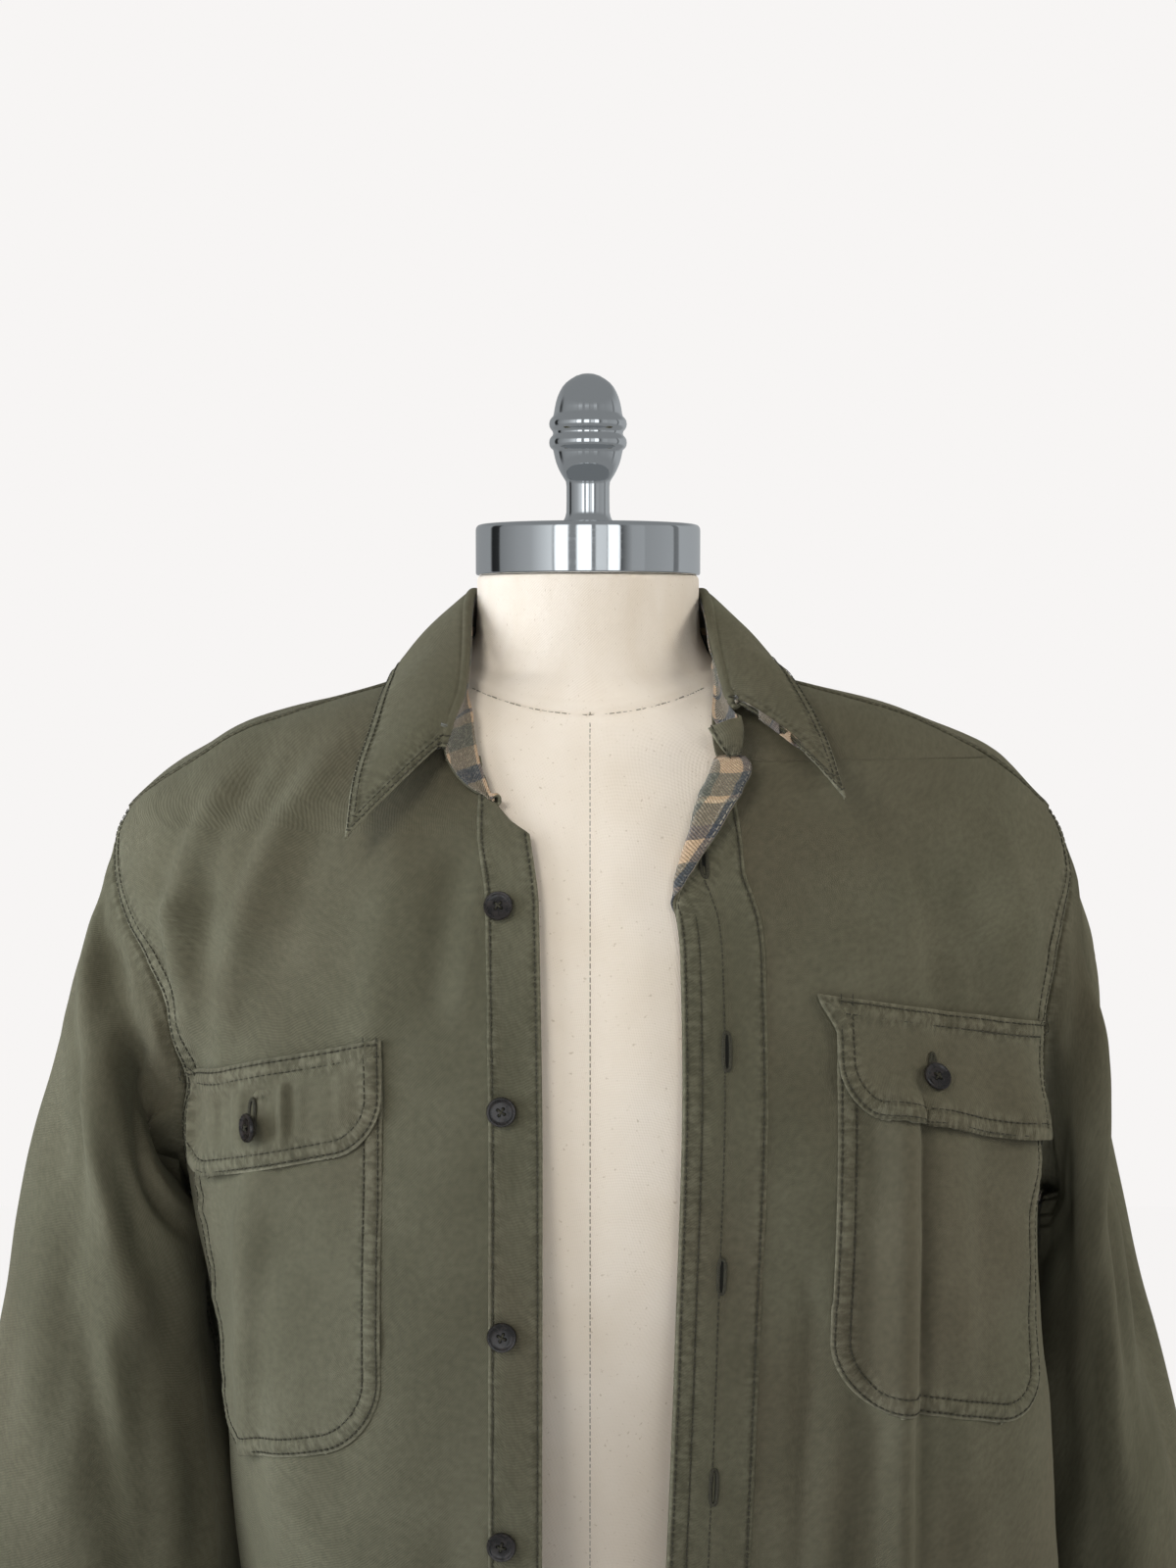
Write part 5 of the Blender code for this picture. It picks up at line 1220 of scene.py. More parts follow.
def makeSleeve(side):
    size, long, rows = sleeveSize, sleeveSize["long"], sleeveCurves(side)
    points, normals, away, turns = armholeLoop(side)
    low = 1 - ease(points[:, 2], points[:, 2].min(), points[:, 2].min() + size["lowReach"])
    loop = points + away * (size["gap"] + size["lowGap"] * low)[:, None]
    start = sleeveRing(rows, 0.0, turns, side)
    metres = np.concatenate([[0, .0015, .003, .0045, .006, .008], np.arange(.011, long - .013, .0048),
                             long - np.array([.012, .010, .008, .006, .004, .002, 0])])
    grid = np.array([sleeveRing(rows, s, turns, side) + (loop - start) * (1 - float(ease(s, 0.0, size["eases"])))
                     for s in metres / long])
    out = outward(grid)
    folds = [(a0 * .42, b0 * long, a1 * .42, b1 * long, *rest) for a0, b0, a1, b1, *rest in sleeveFolds[side]]
    across, along = turns[None, :] * size["round"], metres[:, None]
    height = foldHeights(folds, across, along, False)
    height = height + pictureFolds(sleeveCreases[side], grid[..., 0], high - grid[..., 2], out[..., 1] < -.15)
    height = height + .0016 * softNoise(across + .3 * along, along, (.026, .080), 7 + side) \
        + .0009 * softNoise(across - .2 * along, along, (.016, .040), 17 + side)
    height = height * (ease(metres, .006, .060) * (1 - ease(metres, long - .040, long)))[:, None]
    # gathered at the cuff into small tucks
    height = height + .0016 * softNoise(across, 0 * along, (.012, 1.0), 27) \
        * ease(metres, long - .055, long - .010)[:, None]
    grid = grid + out * height[..., None]
    grid = grid - normals[None] * (size["under"] * (1 - ease(metres, .0, .010)))[:, None, None]
    tucked = points - away * size["tuck"] - normals * (size["under"] + .0004)
    grid = np.concatenate([tucked[None], grid + out * .00075])
    grid = grid if side < 0 else grid[:, ::-1]
    out, closing = outward(grid), 0 if side < 0 else grid.shape[1] - 1
    seams = [seam(closedUp(grid[1]), (), 1.1, .007), seam(grid[1:, closing], (.0016, .0076), 1.1),
             seam(closedUp(grid[-1]), (), 1.4, .012)]
    made = sewn(grid, out, seams, 121 + side)
    clothPiece("sleeve_" + sideName(side), made, uvShift=(.13 * side, .33), out=out, closed=True)
    grid, normals = made[0], outward(made[0])
    for distance in (.0016, .0076):
        share = distance / np.linalg.norm(grid[60, 1] - grid[60, 0])
        first, second = [(closing + int(share) + k) % grid.shape[1] for k in (0, 1)]
        line = grid[3:-3, first] * (1 - share % 1) + grid[3:-3, second] * (share % 1)
        stitchRow("sleeves", line + normals[3:-3, first] * .0001, normals[3:-3, first])


cuffSize = {"height": .062, "wall": .0024, "lean": (.012, -.010), "girth": (1, .97, .95), "opening": .80,
            "rows": (.0020, .0085)}


def makeCuff(side):
    turns = np.linspace(0, 1, 150, endpoint=False)
    end = sleeveRing(sleeveCurves(side), 1.0, turns, side)
    middle, tall = end.mean(axis=0), cuffSize["height"]
    lean = np.array([side * cuffSize["lean"][0], cuffSize["lean"][1], -tall])
    down = spread(tall, (0, .5, 1.2, 2, 2.9, 4.2, 6, 7.4, 8.5, 9.6, 11.5), .0028) / tall
    girth = np.interp(down, (0, .5, 1), cuffSize["girth"])
    grid = np.array([middle + (end - middle) * g + lean * d - np.array([0, 0, .00125]) for d, g in zip(down, girth)])
    # the two ends lap over one another: the outer end is a step in the cuff's face
    apart = (turns - cuffSize["opening"]) * .27
    step = .0022 * ease(apart, -.0006, .0006) * (1 - ease(apart, .030, .075))
    wave = .0009 * softNoise(turns * .27, 0 * turns, .030, 5)
    roundOff = .0010 * np.exp(-(np.minimum(down, 1 - down) * tall / .0009) ** 2)
    grid = grid + outward(grid) * (.0012 + step[None] + wave[None] - roundOff[:, None])[..., None]
    if side > 0:
        grid, turns = grid[:, ::-1], turns[::-1]
    out = outward(grid)
    column = int(np.argmin(np.abs(turns - cuffSize["opening"])))
    seams = [seam(closedUp(grid[k]), cuffSize["rows"], 1.2, .006, True) for k in (0, -1)]
    made = sewn(grid, out, seams + [seam(grid[:, column], (), .8, .003, True)], 131 + side)
    clothPiece("cuff_" + sideName(side), made, cuffSize["wall"], (twill, twill), (.4, .05 * side), out=out, closed=True)
    drop = lengthsAlong(made[0][:, 0])
    for distance in cuffSize["rows"]:
        for place in (distance, drop[-1] - distance):
            k = int(np.argmin(np.abs(drop - place)))
            stitchRow("sleeves", closedUp(made[0][k]) + closedUp(out[k]) * .0001, closedUp(out[k]))


for side in (-1, 1):
    makeSleeve(side)
    makeCuff(side)
print("sleeves and cuffs ready")


# collar

collarPlaces = {
    "neckRing": (.064, .055, .046, .036, .024, .010, None, None, None, None, None, None, None, None,
                 None, .008, .016, .024, .031, .038, .044),
    "neckTurn": (None, None, None, None, None, None, -.285, -.42, -.60, -.82, 1.0, .82, .60, .42, .285,
                 None, None, None, None, None, None),
    "foldX": (-.0450, -.0560, -.0640, -.0685, -.0650, -.0602, -.0590, -.0590, -.0575, -.0370, .0000,
              .0370, .0575, .0590, .0610, .0645, .0670, .0700, .0728, .0658, .0573),
    "foldY": (-.0930, -.0915, -.0885, -.0840, -.0750, -.0630, -.0440, -.0150, .0200, .0570, .0680,
              .0570, .0200, -.0150, -.0420, -.0560, -.0640, -.0720, -.0800, -.0880, -.0855),
    "foldDrop": (.0610, .0560, .0480, .0373, .0235, .0080, -.0130, -.0330, -.0390, -.0390, -.0385,
                 -.0390, -.0390, -.0330, -.0150, .0010, .0115, .0195, .0216, .0235, .0272),
    "edgeX": (-.1140, -.1125, -.1070, -.1020, -.0985, -.0890, -.0530, .0000,
              .0530, .0870, .0955, .0990, .1070, .1150, .1206),
    "edgeY": (-.1135, -.0960, -.0700, -.0420, -.0060, .0420, .0810, .0930,
              .0810, .0420, -.0060, -.0400, -.0640, -.0880, -.1135),
    "edgeDrop": (.0770, .0540, .0300, .0100, .0015, .0035, .0115, .0140,
                 .0115, .0035, -.0015, .0010, .0145, .0340, .0580),
}
collarSize = {"fold": .0026, "bulge": .0030, "wall": .0020, "rows": (.0017, .0060)}
# the stand's loose end on the wearer's left turns in towards the neck: its foot there as (x, y, drop)
looseFoot = ((.0720, -.0830, .0385), (.0710, -.0880, .0402), (.0668, -.0865, .0408))


def rail(places, points):
    curves = [smoothCurve(places, np.asarray(points)[:, k]) for k in range(3)]
    return lambda t: np.stack([curve(np.asarray(t, float)) for curve in curves], axis=-1)


def necklinePoint(row):
    ring, turn = collarPlaces["neckRing"][row], collarPlaces["neckTurn"][row]
    if ring is None:
        ring, c = 0.0, curveOf(0.0)
        run = float(np.interp(turn, c["turn"], c["run"]))
    else:
        side = -1 if row < 10 else 1
        run = side * edgeRun(side, ring)
    if abs(run) < .16:
        return frontMap.at([run], [ring], .0025)[0]
    u = (halfRound(1, ring) - run) if run > 0 else -(halfRound(-1, ring) + run)
    return backMap.at([u], [ring], .0025)[0]


def makeCollar():
    rows = np.arange(21.0)
    neck = rail(rows, [necklinePoint(i) for i in range(18)] + [(x, y, high - drop) for x, y, drop in looseFoot])
    fold = rail(rows, np.stack([collarPlaces["foldX"], collarPlaces["foldY"],
                                high - np.array(collarPlaces["foldDrop"])], axis=-1))
    edge = rail(np.arange(3.0, 18.0), np.stack([collarPlaces["edgeX"], collarPlaces["edgeY"],
                                                high - np.array(collarPlaces["edgeDrop"])], axis=-1))
    # stand, its flannel side, and the leaf that turns down over it
    dense = np.linspace(0, 20, 1500)
    length = lengthsAlong(fold(dense), 0)
    place = np.interp(spread(length[-1], (0, .7, 1.5, 2.2, 3.2, 5, 7.5), .0030), length, dense)
    share = spread(.034, (0, .6, 1.3, 2.2, 3.4), .0024) / .034
    low, up = neck(place), fold(place)
    across = share[:, None, None]
    stand = low[None] * (1 - across) + up[None] * across
    out = outwards(stand)
    swell = .0016 * np.sin(math.pi * share)[:, None] + .0007 * softNoise(place * .02, 0 * place, .012, 3)[None]
    stand = stand + out * swell[..., None]
    standFace = stand + out * .00075
    seams = [seam(standFace[0], (.0020,), 1.2, .006, True)]
    seams += [seam(stand[:, k], (.0022,), 1, .005, True) for k in (0, -1)]
    clothPiece("collar_stand", sewn(standFace, out, seams, 141), .0014, uvShift=(.1, .6), out=out)
    for line in ((2, slice(2, -2)), (slice(1, -1), -4)):
        stitchRow("collar", standFace[line] + out[line] * .0001, out[line])
    inside = (stand - out * .00125)[1:, 2:-2]
    uv = np.stack([lengthsAlong(inside, 1), lengthsAlong(inside) + .012], axis=-1)
    clothPiece("collar_stand_lining", inside, .0008, (flannel, flannel), uv=uv)
    # leaf: a rounded turn over the stand's top, then down to the edge
    length = lengthsAlong(edge(np.linspace(3, 17, 1500)), 0)
    place = np.interp(spread(length[-1], (0, .5, 1.2, 2, 3, 4.2, 5.2, 6.0, 6.8, 8, 10, 12.5), .0024), length,
                      np.linspace(3, 17, 1500))
    top, end = fold(place), edge(place)
    flat = unit(top * np.array([1, 1, 0]))
    tangent = unit(np.gradient(top, axis=0))
    flat = unit(flat - tangent * (flat * tangent).sum(-1, keepdims=True))
    rise = unit(np.cross(tangent, flat))
    rise = rise * np.sign(rise[:, 2:3].mean())
    r = collarSize["fold"]
    turn = np.linspace(-.10, math.pi * .93, 9)
    arc = [top + flat * (.0012 + -r * math.cos(t)) + rise * (r * math.sin(t) - .0002) for t in turn]
    start = arc[-1]
    down = spread(1.0, np.array((0, 2.5, 5)) / 60, .045, False)
    near = 1 - np.array([0, .5, 1.2, 2, 3, 4.2, 5.2, 6.0, 6.8, 8, 10, 12.5]) / 62
    down = np.unique(np.concatenate([down[down < near[-1] - .02], near]))
    rest = []
    bow = unit(np.cross(tangent, end - start))
    bow = bow * np.sign((bow * top * np.array([1, 1, .4])).sum(-1, keepdims=True))
    for d in down[1:]:
        ripple = .0010 * softNoise(place * .03, 0 * place + d * .05, (.022, .030), 9) * math.sin(math.pi * min(d, .9))
        rest.append(start + (end - start) * d
                    + bow * (collarSize["bulge"] * math.sin(math.pi * d ** .8) + ripple)[:, None])
    leaf = np.array(arc + rest)
    out = outwards(leaf)
    outline = np.concatenate([leaf[4:, 0], leaf[-1, 1:], leaf[4:-1, -1][::-1]])
    leaf = leaf - out * (.0008 * np.exp(-(nearLine(leaf, outline)[1] / .0008) ** 2))[..., None]
    made = sewn(leaf, out, [seam(outline, collarSize["rows"], 1.1, .004, True)], 151)
    clothPiece("collar_leaf", made, collarSize["wall"], uvShift=(.2, .8), out=out)
    for distance in collarSize["rows"]:
        stitchRow("collar", *insideLine(leaf, out, distance))


def insideLine(grid, out, distance):
    # a line on the collar's leaf at that distance inside its two ends and its edge
    down, over = lengthsAlong(grid), lengthsAlong(grid, 1)
    lines, normals = [], []

    def place(points, faces, length, fromEnd):
        here = length[-1] - length[::-1] if fromEnd else length
        at = np.interp(distance, here, np.arange(len(here)))
        at = len(here) - 1 - at if fromEnd else at
        first = min(int(at), len(here) - 2)
        share = at - first
        lines.append(points[first] * (1 - share) + points[first + 1] * share)
        normals.append(faces[first])

    for k in range(5, int(np.searchsorted(down[:, 0], down[-1, 0] - distance))):
        place(grid[k], out[k], over[k], False)
    starts, stops = [int(np.searchsorted(over[-1], at)) for at in (distance, over[-1, -1] - distance)]
    for j in range(starts + 1, stops - 1):
        place(grid[:, j], out[:, j], down[:, j], True)
    for k in range(int(np.searchsorted(down[:, -1], down[-1, -1] - distance)) - 1, 5, -1):
        place(grid[k], out[k], over[k], True)
    lines, normals = np.array(lines), np.array(normals)
    return lines + normals * .0001, normals


makeCollar()
print("collar ready")


# dress form

form = {
    "drop": (-.047, -.020, .000, .009, .020, .030, .041, .052, .063, .072, .085, .100, .120,
             .140, .166, .200, .235, .270, .320, .360, .430, .520, .620, .700, .760, .785),
    "wide": (.0562, .0568, .0680, .0985, .1430, .1720, .1880, .1950, .1990, .2010, .2020,
             .2020, .2000, .1960, .1890, .1800, .1730, .1660, .1570, .1510, .1450, .1450, .1500,
             .1530, .1510, .1430),
    "front": (.0562, .0568, .0585, .0600, .0645, .0705, .0770, .0835, .0895, .0945, .1005,
              .1070, .1135, .1190, .1250, .1295, .1310, .1300, .1235, .1165, .1080, .1070, .1100,
              .1110, .1080, .1000),
    "back": (.0562, .0568, .0620, .0690, .0770, .0830, .0890, .0930, .0965, .0990, .1020,
             .1050, .1080, .1100, .1115, .1110, .1080, .1040, .0970, .0930, .0900, .0930, .0990,
             .1010, .0980, .0910),
    "square": (2.0, 2.0, 2.0, 2.0, 2.0, 2.0, 2.0, 2.0, 2.0, 2.0, 2.0, 2.05, 2.1, 2.15, 2.2, 2.25,
               2.25, 2.25, 2.2, 2.2, 2.2, 2.2, 2.25, 2.3, 2.3, 2.2),
    "edge": .006, "seamFront": .0205, "seamSide": .0095, "seamDepth": .0011,
}


def formPoint(at, drop, turn):
    wide, front, back, square = (float(at[k](drop)) for k in ("wide", "front", "back", "square"))
    angle = turn * math.pi
    x = np.sign(angle) * wide * np.abs(np.sin(angle)) ** (2 / square)
    cosine = np.abs(np.cos(angle)) ** (2 / square)
    y = np.where(np.cos(angle) > 0, -front * cosine, back * cosine)
    return np.stack([x, y, np.full(len(turn), high - drop)], axis=-1)


def makeForm():
    at = {key: smoothCurve(form["drop"], form[key]) for key in ("wide", "front", "back", "square")}
    drops = np.concatenate([-.047 + np.array([0, .0008, .0016, .003, .006, .012, .020, .029]),
                            np.arange(-.010, .0305, .0011), np.arange(.033, .100, .004), np.arange(.104, .765, .009),
                            [.768, .773, .777, .7805, .783, .785]])
    turns = np.linspace(-1, 1, 193)[:-1]
    grid = np.array([formPoint(at, d, turns) for d in drops])
    rim = np.array([max(0.0, 1 - (.785 - d) / .006) for d in drops])
    grid[..., :2] *= (1 - .055 * rim[:, None, None] ** 2)
    top = np.array([max(0.0, 1 - (d + .047) / .002) for d in drops])
    grid[..., :2] *= (1 - .02 * top[:, None, None] ** 2)
    out = outward(grid)
    # neck seam and the seams down the front, back and sides: shallow grooves
    neckDrop, neck = [], []
    for t in turns:
        low, top = .001, .024
        for _ in range(18):
            middle = (low + top) / 2
            p = formPoint(at, middle, np.array([t]))[0]
            wanted = form["seamFront"] - (form["seamFront"] - form["seamSide"]) * min(abs(p[0]) / .054, 1.35) ** 2
            wanted = wanted if p[1] < 0 else .002
            low, top = (middle, top) if wanted > middle else (low, middle)
        neckDrop.append(middle)
        neck.append(p)
    neck = closedUp(np.array(neck))
    apart = nearLine(grid, neck)[1]
    height = -form["seamDepth"] * hump(apart, 0, .0010) + .0006 * hump(apart, .0035, .0022)
    lines = []
    for turn in (0.0, .31, -.31, 1.0, .69, -.69):
        low = np.linspace(float(np.interp(turn, turns, neckDrop)), .783, 160)
        lines.append(np.array([formPoint(at, d, np.array([turn]))[0] for d in low]))
        apart = nearLine(grid, lines[-1])[1]
        height = height - form["seamDepth"] * .8 * hump(apart, 0, .0010) + .0005 * hump(apart, .0034, .0022)
    grid = grid + out * height[..., None]
    length = lengthsAlong(grid)
    uv = np.stack([np.broadcast_to(np.append(turns, 1) * .62, (len(drops), len(turns) + 1)),
                   -np.concatenate([length, length[:, :1]], axis=1)], axis=-1)
    clothPiece("form_torso", grid, 0, (canvas,), uv=uv, closed=True, caps=True)
    stitchRow("form", *snapped(resampled(neck - np.array([0, 0, .0012]), .004), grid, out), "pale")
    for one in lines:
        stitchRow("form", *snapped(resampled(one[::4] + np.array([.0010, 0, 0]), .006), grid, out), "pale")


def snapped(line, grid, out):
    # the line laid on the nearest places of a surface
    flat, normals = grid.reshape(-1, 3), out.reshape(-1, 3)
    best = np.array([((flat - p) ** 2).sum(axis=1).argmin() for p in line])
    n = normals[best]
    onto = line - n * ((line - flat[best]) * n).sum(axis=-1, keepdims=True)
    return onto, n


def circle(radius, sides, middle=(0, 0), z=0):
    turns = [2 * math.pi * k / sides for k in range(sides)]
    return [(middle[0] + radius * math.cos(a), middle[1] + radius * math.sin(a), z) for a in turns]


def bridge(mesh, loops):
    # faces between loops of corners; a loop of one corner is a point
    made = []
    for a, b in zip(loops, loops[1:]):
        count = max(len(a), len(b))
        for k, m in [(k, (k + 1) % count) for k in range(count)]:
            corners = dict.fromkeys((a[k % len(a)], a[m % len(a)], b[m % len(b)], b[k % len(b)]))
            if len(corners) > 2:
                made.append(mesh.faces.new(list(corners)))
    return made


def solidPiece(name, mesh, materials, sharp, nodes, turn=None):
    bmesh.ops.recalc_face_normals(mesh, faces=mesh.faces)
    data = bpy.data.meshes.new(name)
    mesh.to_mesh(data)
    mesh.free()
    for one in materials:
        data.materials.append(one)
    if turn is not None:
        data.transform(turn)
    if sharp:
        data.shade_smooth()
        data.set_sharp_from_angle(angle=math.radians(sharp))
    addPiece(name, data, nodes)


def lathe(name, profile, sides, up=0):
    # a turned chrome solid from (radius, height) pairs, bottom to top; both ends close on the axis
    mesh = bmesh.new()
    bridge(mesh, [[mesh.verts.new(p) for p in circle(radius, sides if radius > 1e-6 else 1, z=up + height)]
                  for radius, height in profile])
    solidPiece(name, mesh, [chrome], 50, [name])


def rounded(profile, corners, radius, steps=5):
    # the profile with the numbered corners rounded off
    out = []
    for i, point in enumerate(profile):
        if i not in corners:
            out.append(point)
            continue
        p, a, b = (np.array(profile[k], float) for k in (i, i - 1, i + 1))
        one, two = (a - p) / np.linalg.norm(a - p), (b - p) / np.linalg.norm(b - p)
        for t in np.linspace(0, 1, steps):
            q = (1 - t) ** 2 * (p + one * radius) + 2 * t * (1 - t) * p + t * t * (p + two * radius)
            out.append(tuple(q))
    return out


standSize = {"capRadius": .0570, "capBottom": 1.0473, "capHeight": .0255, "capEdge": .003, "pole": .016,
             "flange": (.038, .006), "base": .165, "baseHeight": .020, "baseTop": .0203, "torsoBottom": .2147}
finialProfile = (  # (radius, height above the cap)
    (0, 0), (.0133, 0), (.0126, .0016), (.0116, .0036), (.0110, .0062), (.0109, .0120), (.0109, .0190), (.0112, .0216),
    (.0121, .0231), (.0132, .0248), (.0142, .0266), (.0152, .0287), (.0161, .0310), (.0168, .0335), (.0173, .0358),
    (.0177, .0376), (.0189, .0386), (.0195, .0397), (.0197, .0412), (.0195, .0428), (.0188, .0440), (.0180, .0448),
    (.0177, .0459), (.0180, .0470), (.0188, .0480), (.0195, .0492), (.0197, .0508), (.0194, .0524), (.0186, .0536),
    (.0177, .0545), (.0173, .0560), (.0169, .0585), (.0163, .0615), (.0155, .0642), (.0144, .0668), (.0130, .0693),
    (.0112, .0714), (.0090, .0731), (.0062, .0748), (.0032, .0758), (0, .0762))


def makeStand():
    r, h, e = standSize["capRadius"], standSize["capHeight"], standSize["capEdge"]
    cap = rounded([(0, 0), (r, 0), (r, h), (0, h)], (1,), .0012, 4)
    cap = rounded(cap, (len(cap) - 2,), e, 7)
    lathe("neck_cap", cap, 120, standSize["capBottom"])
    lathe("finial", finialProfile, 72, standSize["capBottom"] + h + .0003)
    p, (fr, fh) = standSize["pole"], standSize["flange"]
    low, up = standSize["baseTop"], standSize["torsoBottom"]
    pole = [(0, low), (p, low), (p, low + .040), (p + .0022, low + .041), (p + .0026, low + .046),
            (p + .0022, low + .051), (p, low + .052), (p, up - fh - .012), (p + .002, up - fh - .006),
            (fr - .004, up - fh), (fr, up - fh + .0015), (fr, up), (0, up)]
    lathe("stand_pole", pole, 72)
    b, bh = standSize["base"], standSize["baseHeight"]
    base = [(0, 0), (b - .001, 0), (b, .001), (b, .0060), (b - .0012, .0080), (b - .004, .0094), (b - .010, .0104),
            (b * .8, .0126), (b * .55, .0152), (b * .35, .0178), (.040, .0190), (.032, .0200), (.031, bh), (0, bh)]
    lathe("stand_base", base, 128)


makeForm()
makeStand()
print("dress form ready")


# buttons, each with four holes and a cross of thread

buttonSize = {"radius": .0070, "thick": .0030, "rim": .0014, "dish": .0008, "hole": .00085, "holeAt": .0016,
              "rings": (.1093, .1982, .3014, .3999, .4966, .5933), "inset": .0185,
              "flap": {-1: .1390, 1: .1210}, "flapDown": .58, "clear": .0004}


def strand(mesh, points, radius, parts=6):
    rings, points = [], np.array(points)
    for p, d in zip(points, unit(np.gradient(points, axis=0))):
        side = unit(np.cross(d, np.array([.2, .3, 1.0]) if abs(d[2]) < .8 else np.array([1.0, .1, 0])))
        up = np.cross(side, d)
        rings.append([mesh.verts.new(p + (side * math.cos(a) + up * math.sin(a)) * radius)
                      for a in np.linspace(0, 2 * math.pi, parts, endpoint=False)])
    made = bridge(mesh, rings) + [mesh.faces.new(rings[0]), mesh.faces.new(rings[-1])]
    for face in made:
        face.material_index = 1
    return made


def makeButton(name, place, normal, turnBy):
    size = buttonSize
    r, t = size["radius"], size["thick"]
    inner, dish = r - size["rim"], t - size["dish"]
    mesh = bmesh.new()
    profile = [(r * .60, 0), (r * .80, .0001), (r * .93, t * .20), (r, t * .46), (r * .995, t * .70),
               (r * .965, t * .90), (r * .92, t), (r * .86, t * .995), (inner, t - size["dish"] * .35),
               (inner * .90, dish + .00012), (inner * .78, dish)]
    loops = [[mesh.verts.new(p) for p in circle(a, 32, z=z)] for a, z in profile]
    bridge(mesh, loops)
    reach = size["holeAt"] * math.sqrt(2) * .8
    ways = [np.array([math.cos(a), math.sin(a), 0]) for a in turnBy + math.pi / 4 + np.arange(4) * math.pi / 2]
    holes = [[[mesh.verts.new(p) for p in circle(size["hole"], 10, d * reach, z)] for z in (dish, 0)] for d in ways]
    for level, outer in ((0, loops[-1]), (1, loops[0])):
        edges = []
        for loop in [outer] + [h[level] for h in holes]:
            for pair in zip(loop, loop[1:] + loop[:1]):
                edges.append(mesh.edges.get(pair) or mesh.edges.new(pair))
        bmesh.ops.triangle_fill(mesh, use_beauty=True, use_dissolve=False, edges=edges)
    for hole in holes:
        bridge(mesh, hole)
    # thread: two strands that cross over the middle
    for q, d in enumerate(ways[:2]):
        line = ((-1, -.0002), (-1, dish + .0001), (-.8, dish + .00055 + q * .0002), (0, dish + .00075 + q * .00025),
                (.8, dish + .00055 + q * .0002), (1, dish + .0001), (1, -.0002))
        strand(mesh, [d * reach * s + np.array([0, 0, z]) for s, z in line], .00042)
    z = Vector(normal)
    turn = Vector((0, 0, 1)).rotation_difference(z).to_matrix().to_4x4()
    solidPiece(name, mesh, [horn, thread], 45, [name],
               Matrix.Translation(Vector(place) + z * size["clear"]) @ turn)


def flapPlace(side):
    # where a flap's button goes: distance from the edge, ring, and how far the flap stands out there
    w, down = buttonSize["flap"][side], frontSize["flapHeight"] * buttonSize["flapDown"]
    lift = float(flapFlare(side)(np.array([w - frontSize["pocketIn"][side]]), np.array([down]))[0])
    return w, frontSize["flapTop"] - hitchOf(side) + down, frontSize["flapLift"] + lift


def makeButtons():
    for i, ring in enumerate(buttonSize["rings"]):
        w = buttonSize["inset"]
        makeButton(f"button_front_{i + 1}", frontPlace(-1, w, ring, frontSize["bandLift"] + .0001),
                   frontMap.normal(-(edgeRun(-1, ring) + w), ring), .15 * i)
    for side in (-1, 1):
        w, ring, lift = flapPlace(side)
        place, normal = frontPlace(side, w, ring, lift), frontMap.normal(side * (edgeRun(side, ring) + w), ring)
        if side < 0:
            normal = unit(normal + np.array([-.75, 0, 0]))
            place = place + np.array([0, -.0034, 0])
        makeButton("button_flap_" + sideName(side), place, normal, .4)
        node = "button_cuff_" + sideName(side)
        place = np.mean(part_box(node), axis=0)
        middle = sleeveRing(sleeveCurves(side), 1.0, np.array([.5, 0.0]), side).mean(axis=0)
        normal = unit((place - middle) * np.array([1, 1, 0]))
        makeButton(node, place - normal * .0004, normal, .2)


makeButtons()
print("buttons ready")


# buttonholes: a worked rim with a slit

holeSize = {"long": .0185, "wide": .0050, "up": .0006, "left": (.0880, .1685, .2725, .3735, .4730, .5720, .6700)}


def makeButtonholes():
    mesh, count = bmesh.new(), 44
    places = [(1, .0205, r, frontSize["bandLift"] + .0002) for r in holeSize["left"]]
    for side in (-1, 1):
        w, ring, lift = flapPlace(side)
        places.append((side, w, ring - .0035, lift))
    for side, w, ring, lift in places:
        loops, wide = [], holeSize["wide"] / 2
        for ringNumber, (spreadBy, up) in enumerate(((1.0, 0.0), (.86, .9), (.62, 1.0), (.36, .55), (.14, -.6))):
            loop = []
            for k, a in enumerate(2 * math.pi * k / count for k in range(count)):
                dr = holeSize["long"] / 2 * abs(math.cos(a)) ** .55 - wide * (1 - spreadBy)
                dr = math.copysign(max(dr, 0), math.cos(a))
                dw = math.copysign(wide * abs(math.sin(a)) ** .8 * spreadBy, math.sin(a))
                bead = .00010 * (-1) ** k if 0 < ringNumber < 3 else 0
                loop.append(mesh.verts.new(frontPlace(side, w + dw, ring + dr, lift + holeSize["up"] * up + bead)))
            loops.append(loop)
        made = bridge(mesh, loops)
        # the inner rings and the slit take the buttonhole's painted shade
        for n, face in enumerate(made):
            face.material_index, face.smooth = int(n >= 3 * count), True
        mesh.faces.new(loops[-1]).material_index = 1
        floor = [mesh.verts.new(v.co + Vector((0, .0004, 0))) for v in loops[0]]
        bridge(mesh, [floor, loops[0]])
        mesh.faces.new(floor[::-1])
    solidPiece("buttonholes", mesh, [thread, gapDark], 0, [])


makeButtonholes()


# stitches: each row's line carries the cloth's normal, and short lengths of thread lie along it

stitchLook = {"pitch": twillLook["stitchPitch"], "long": 2.3, "thick": 0.62}


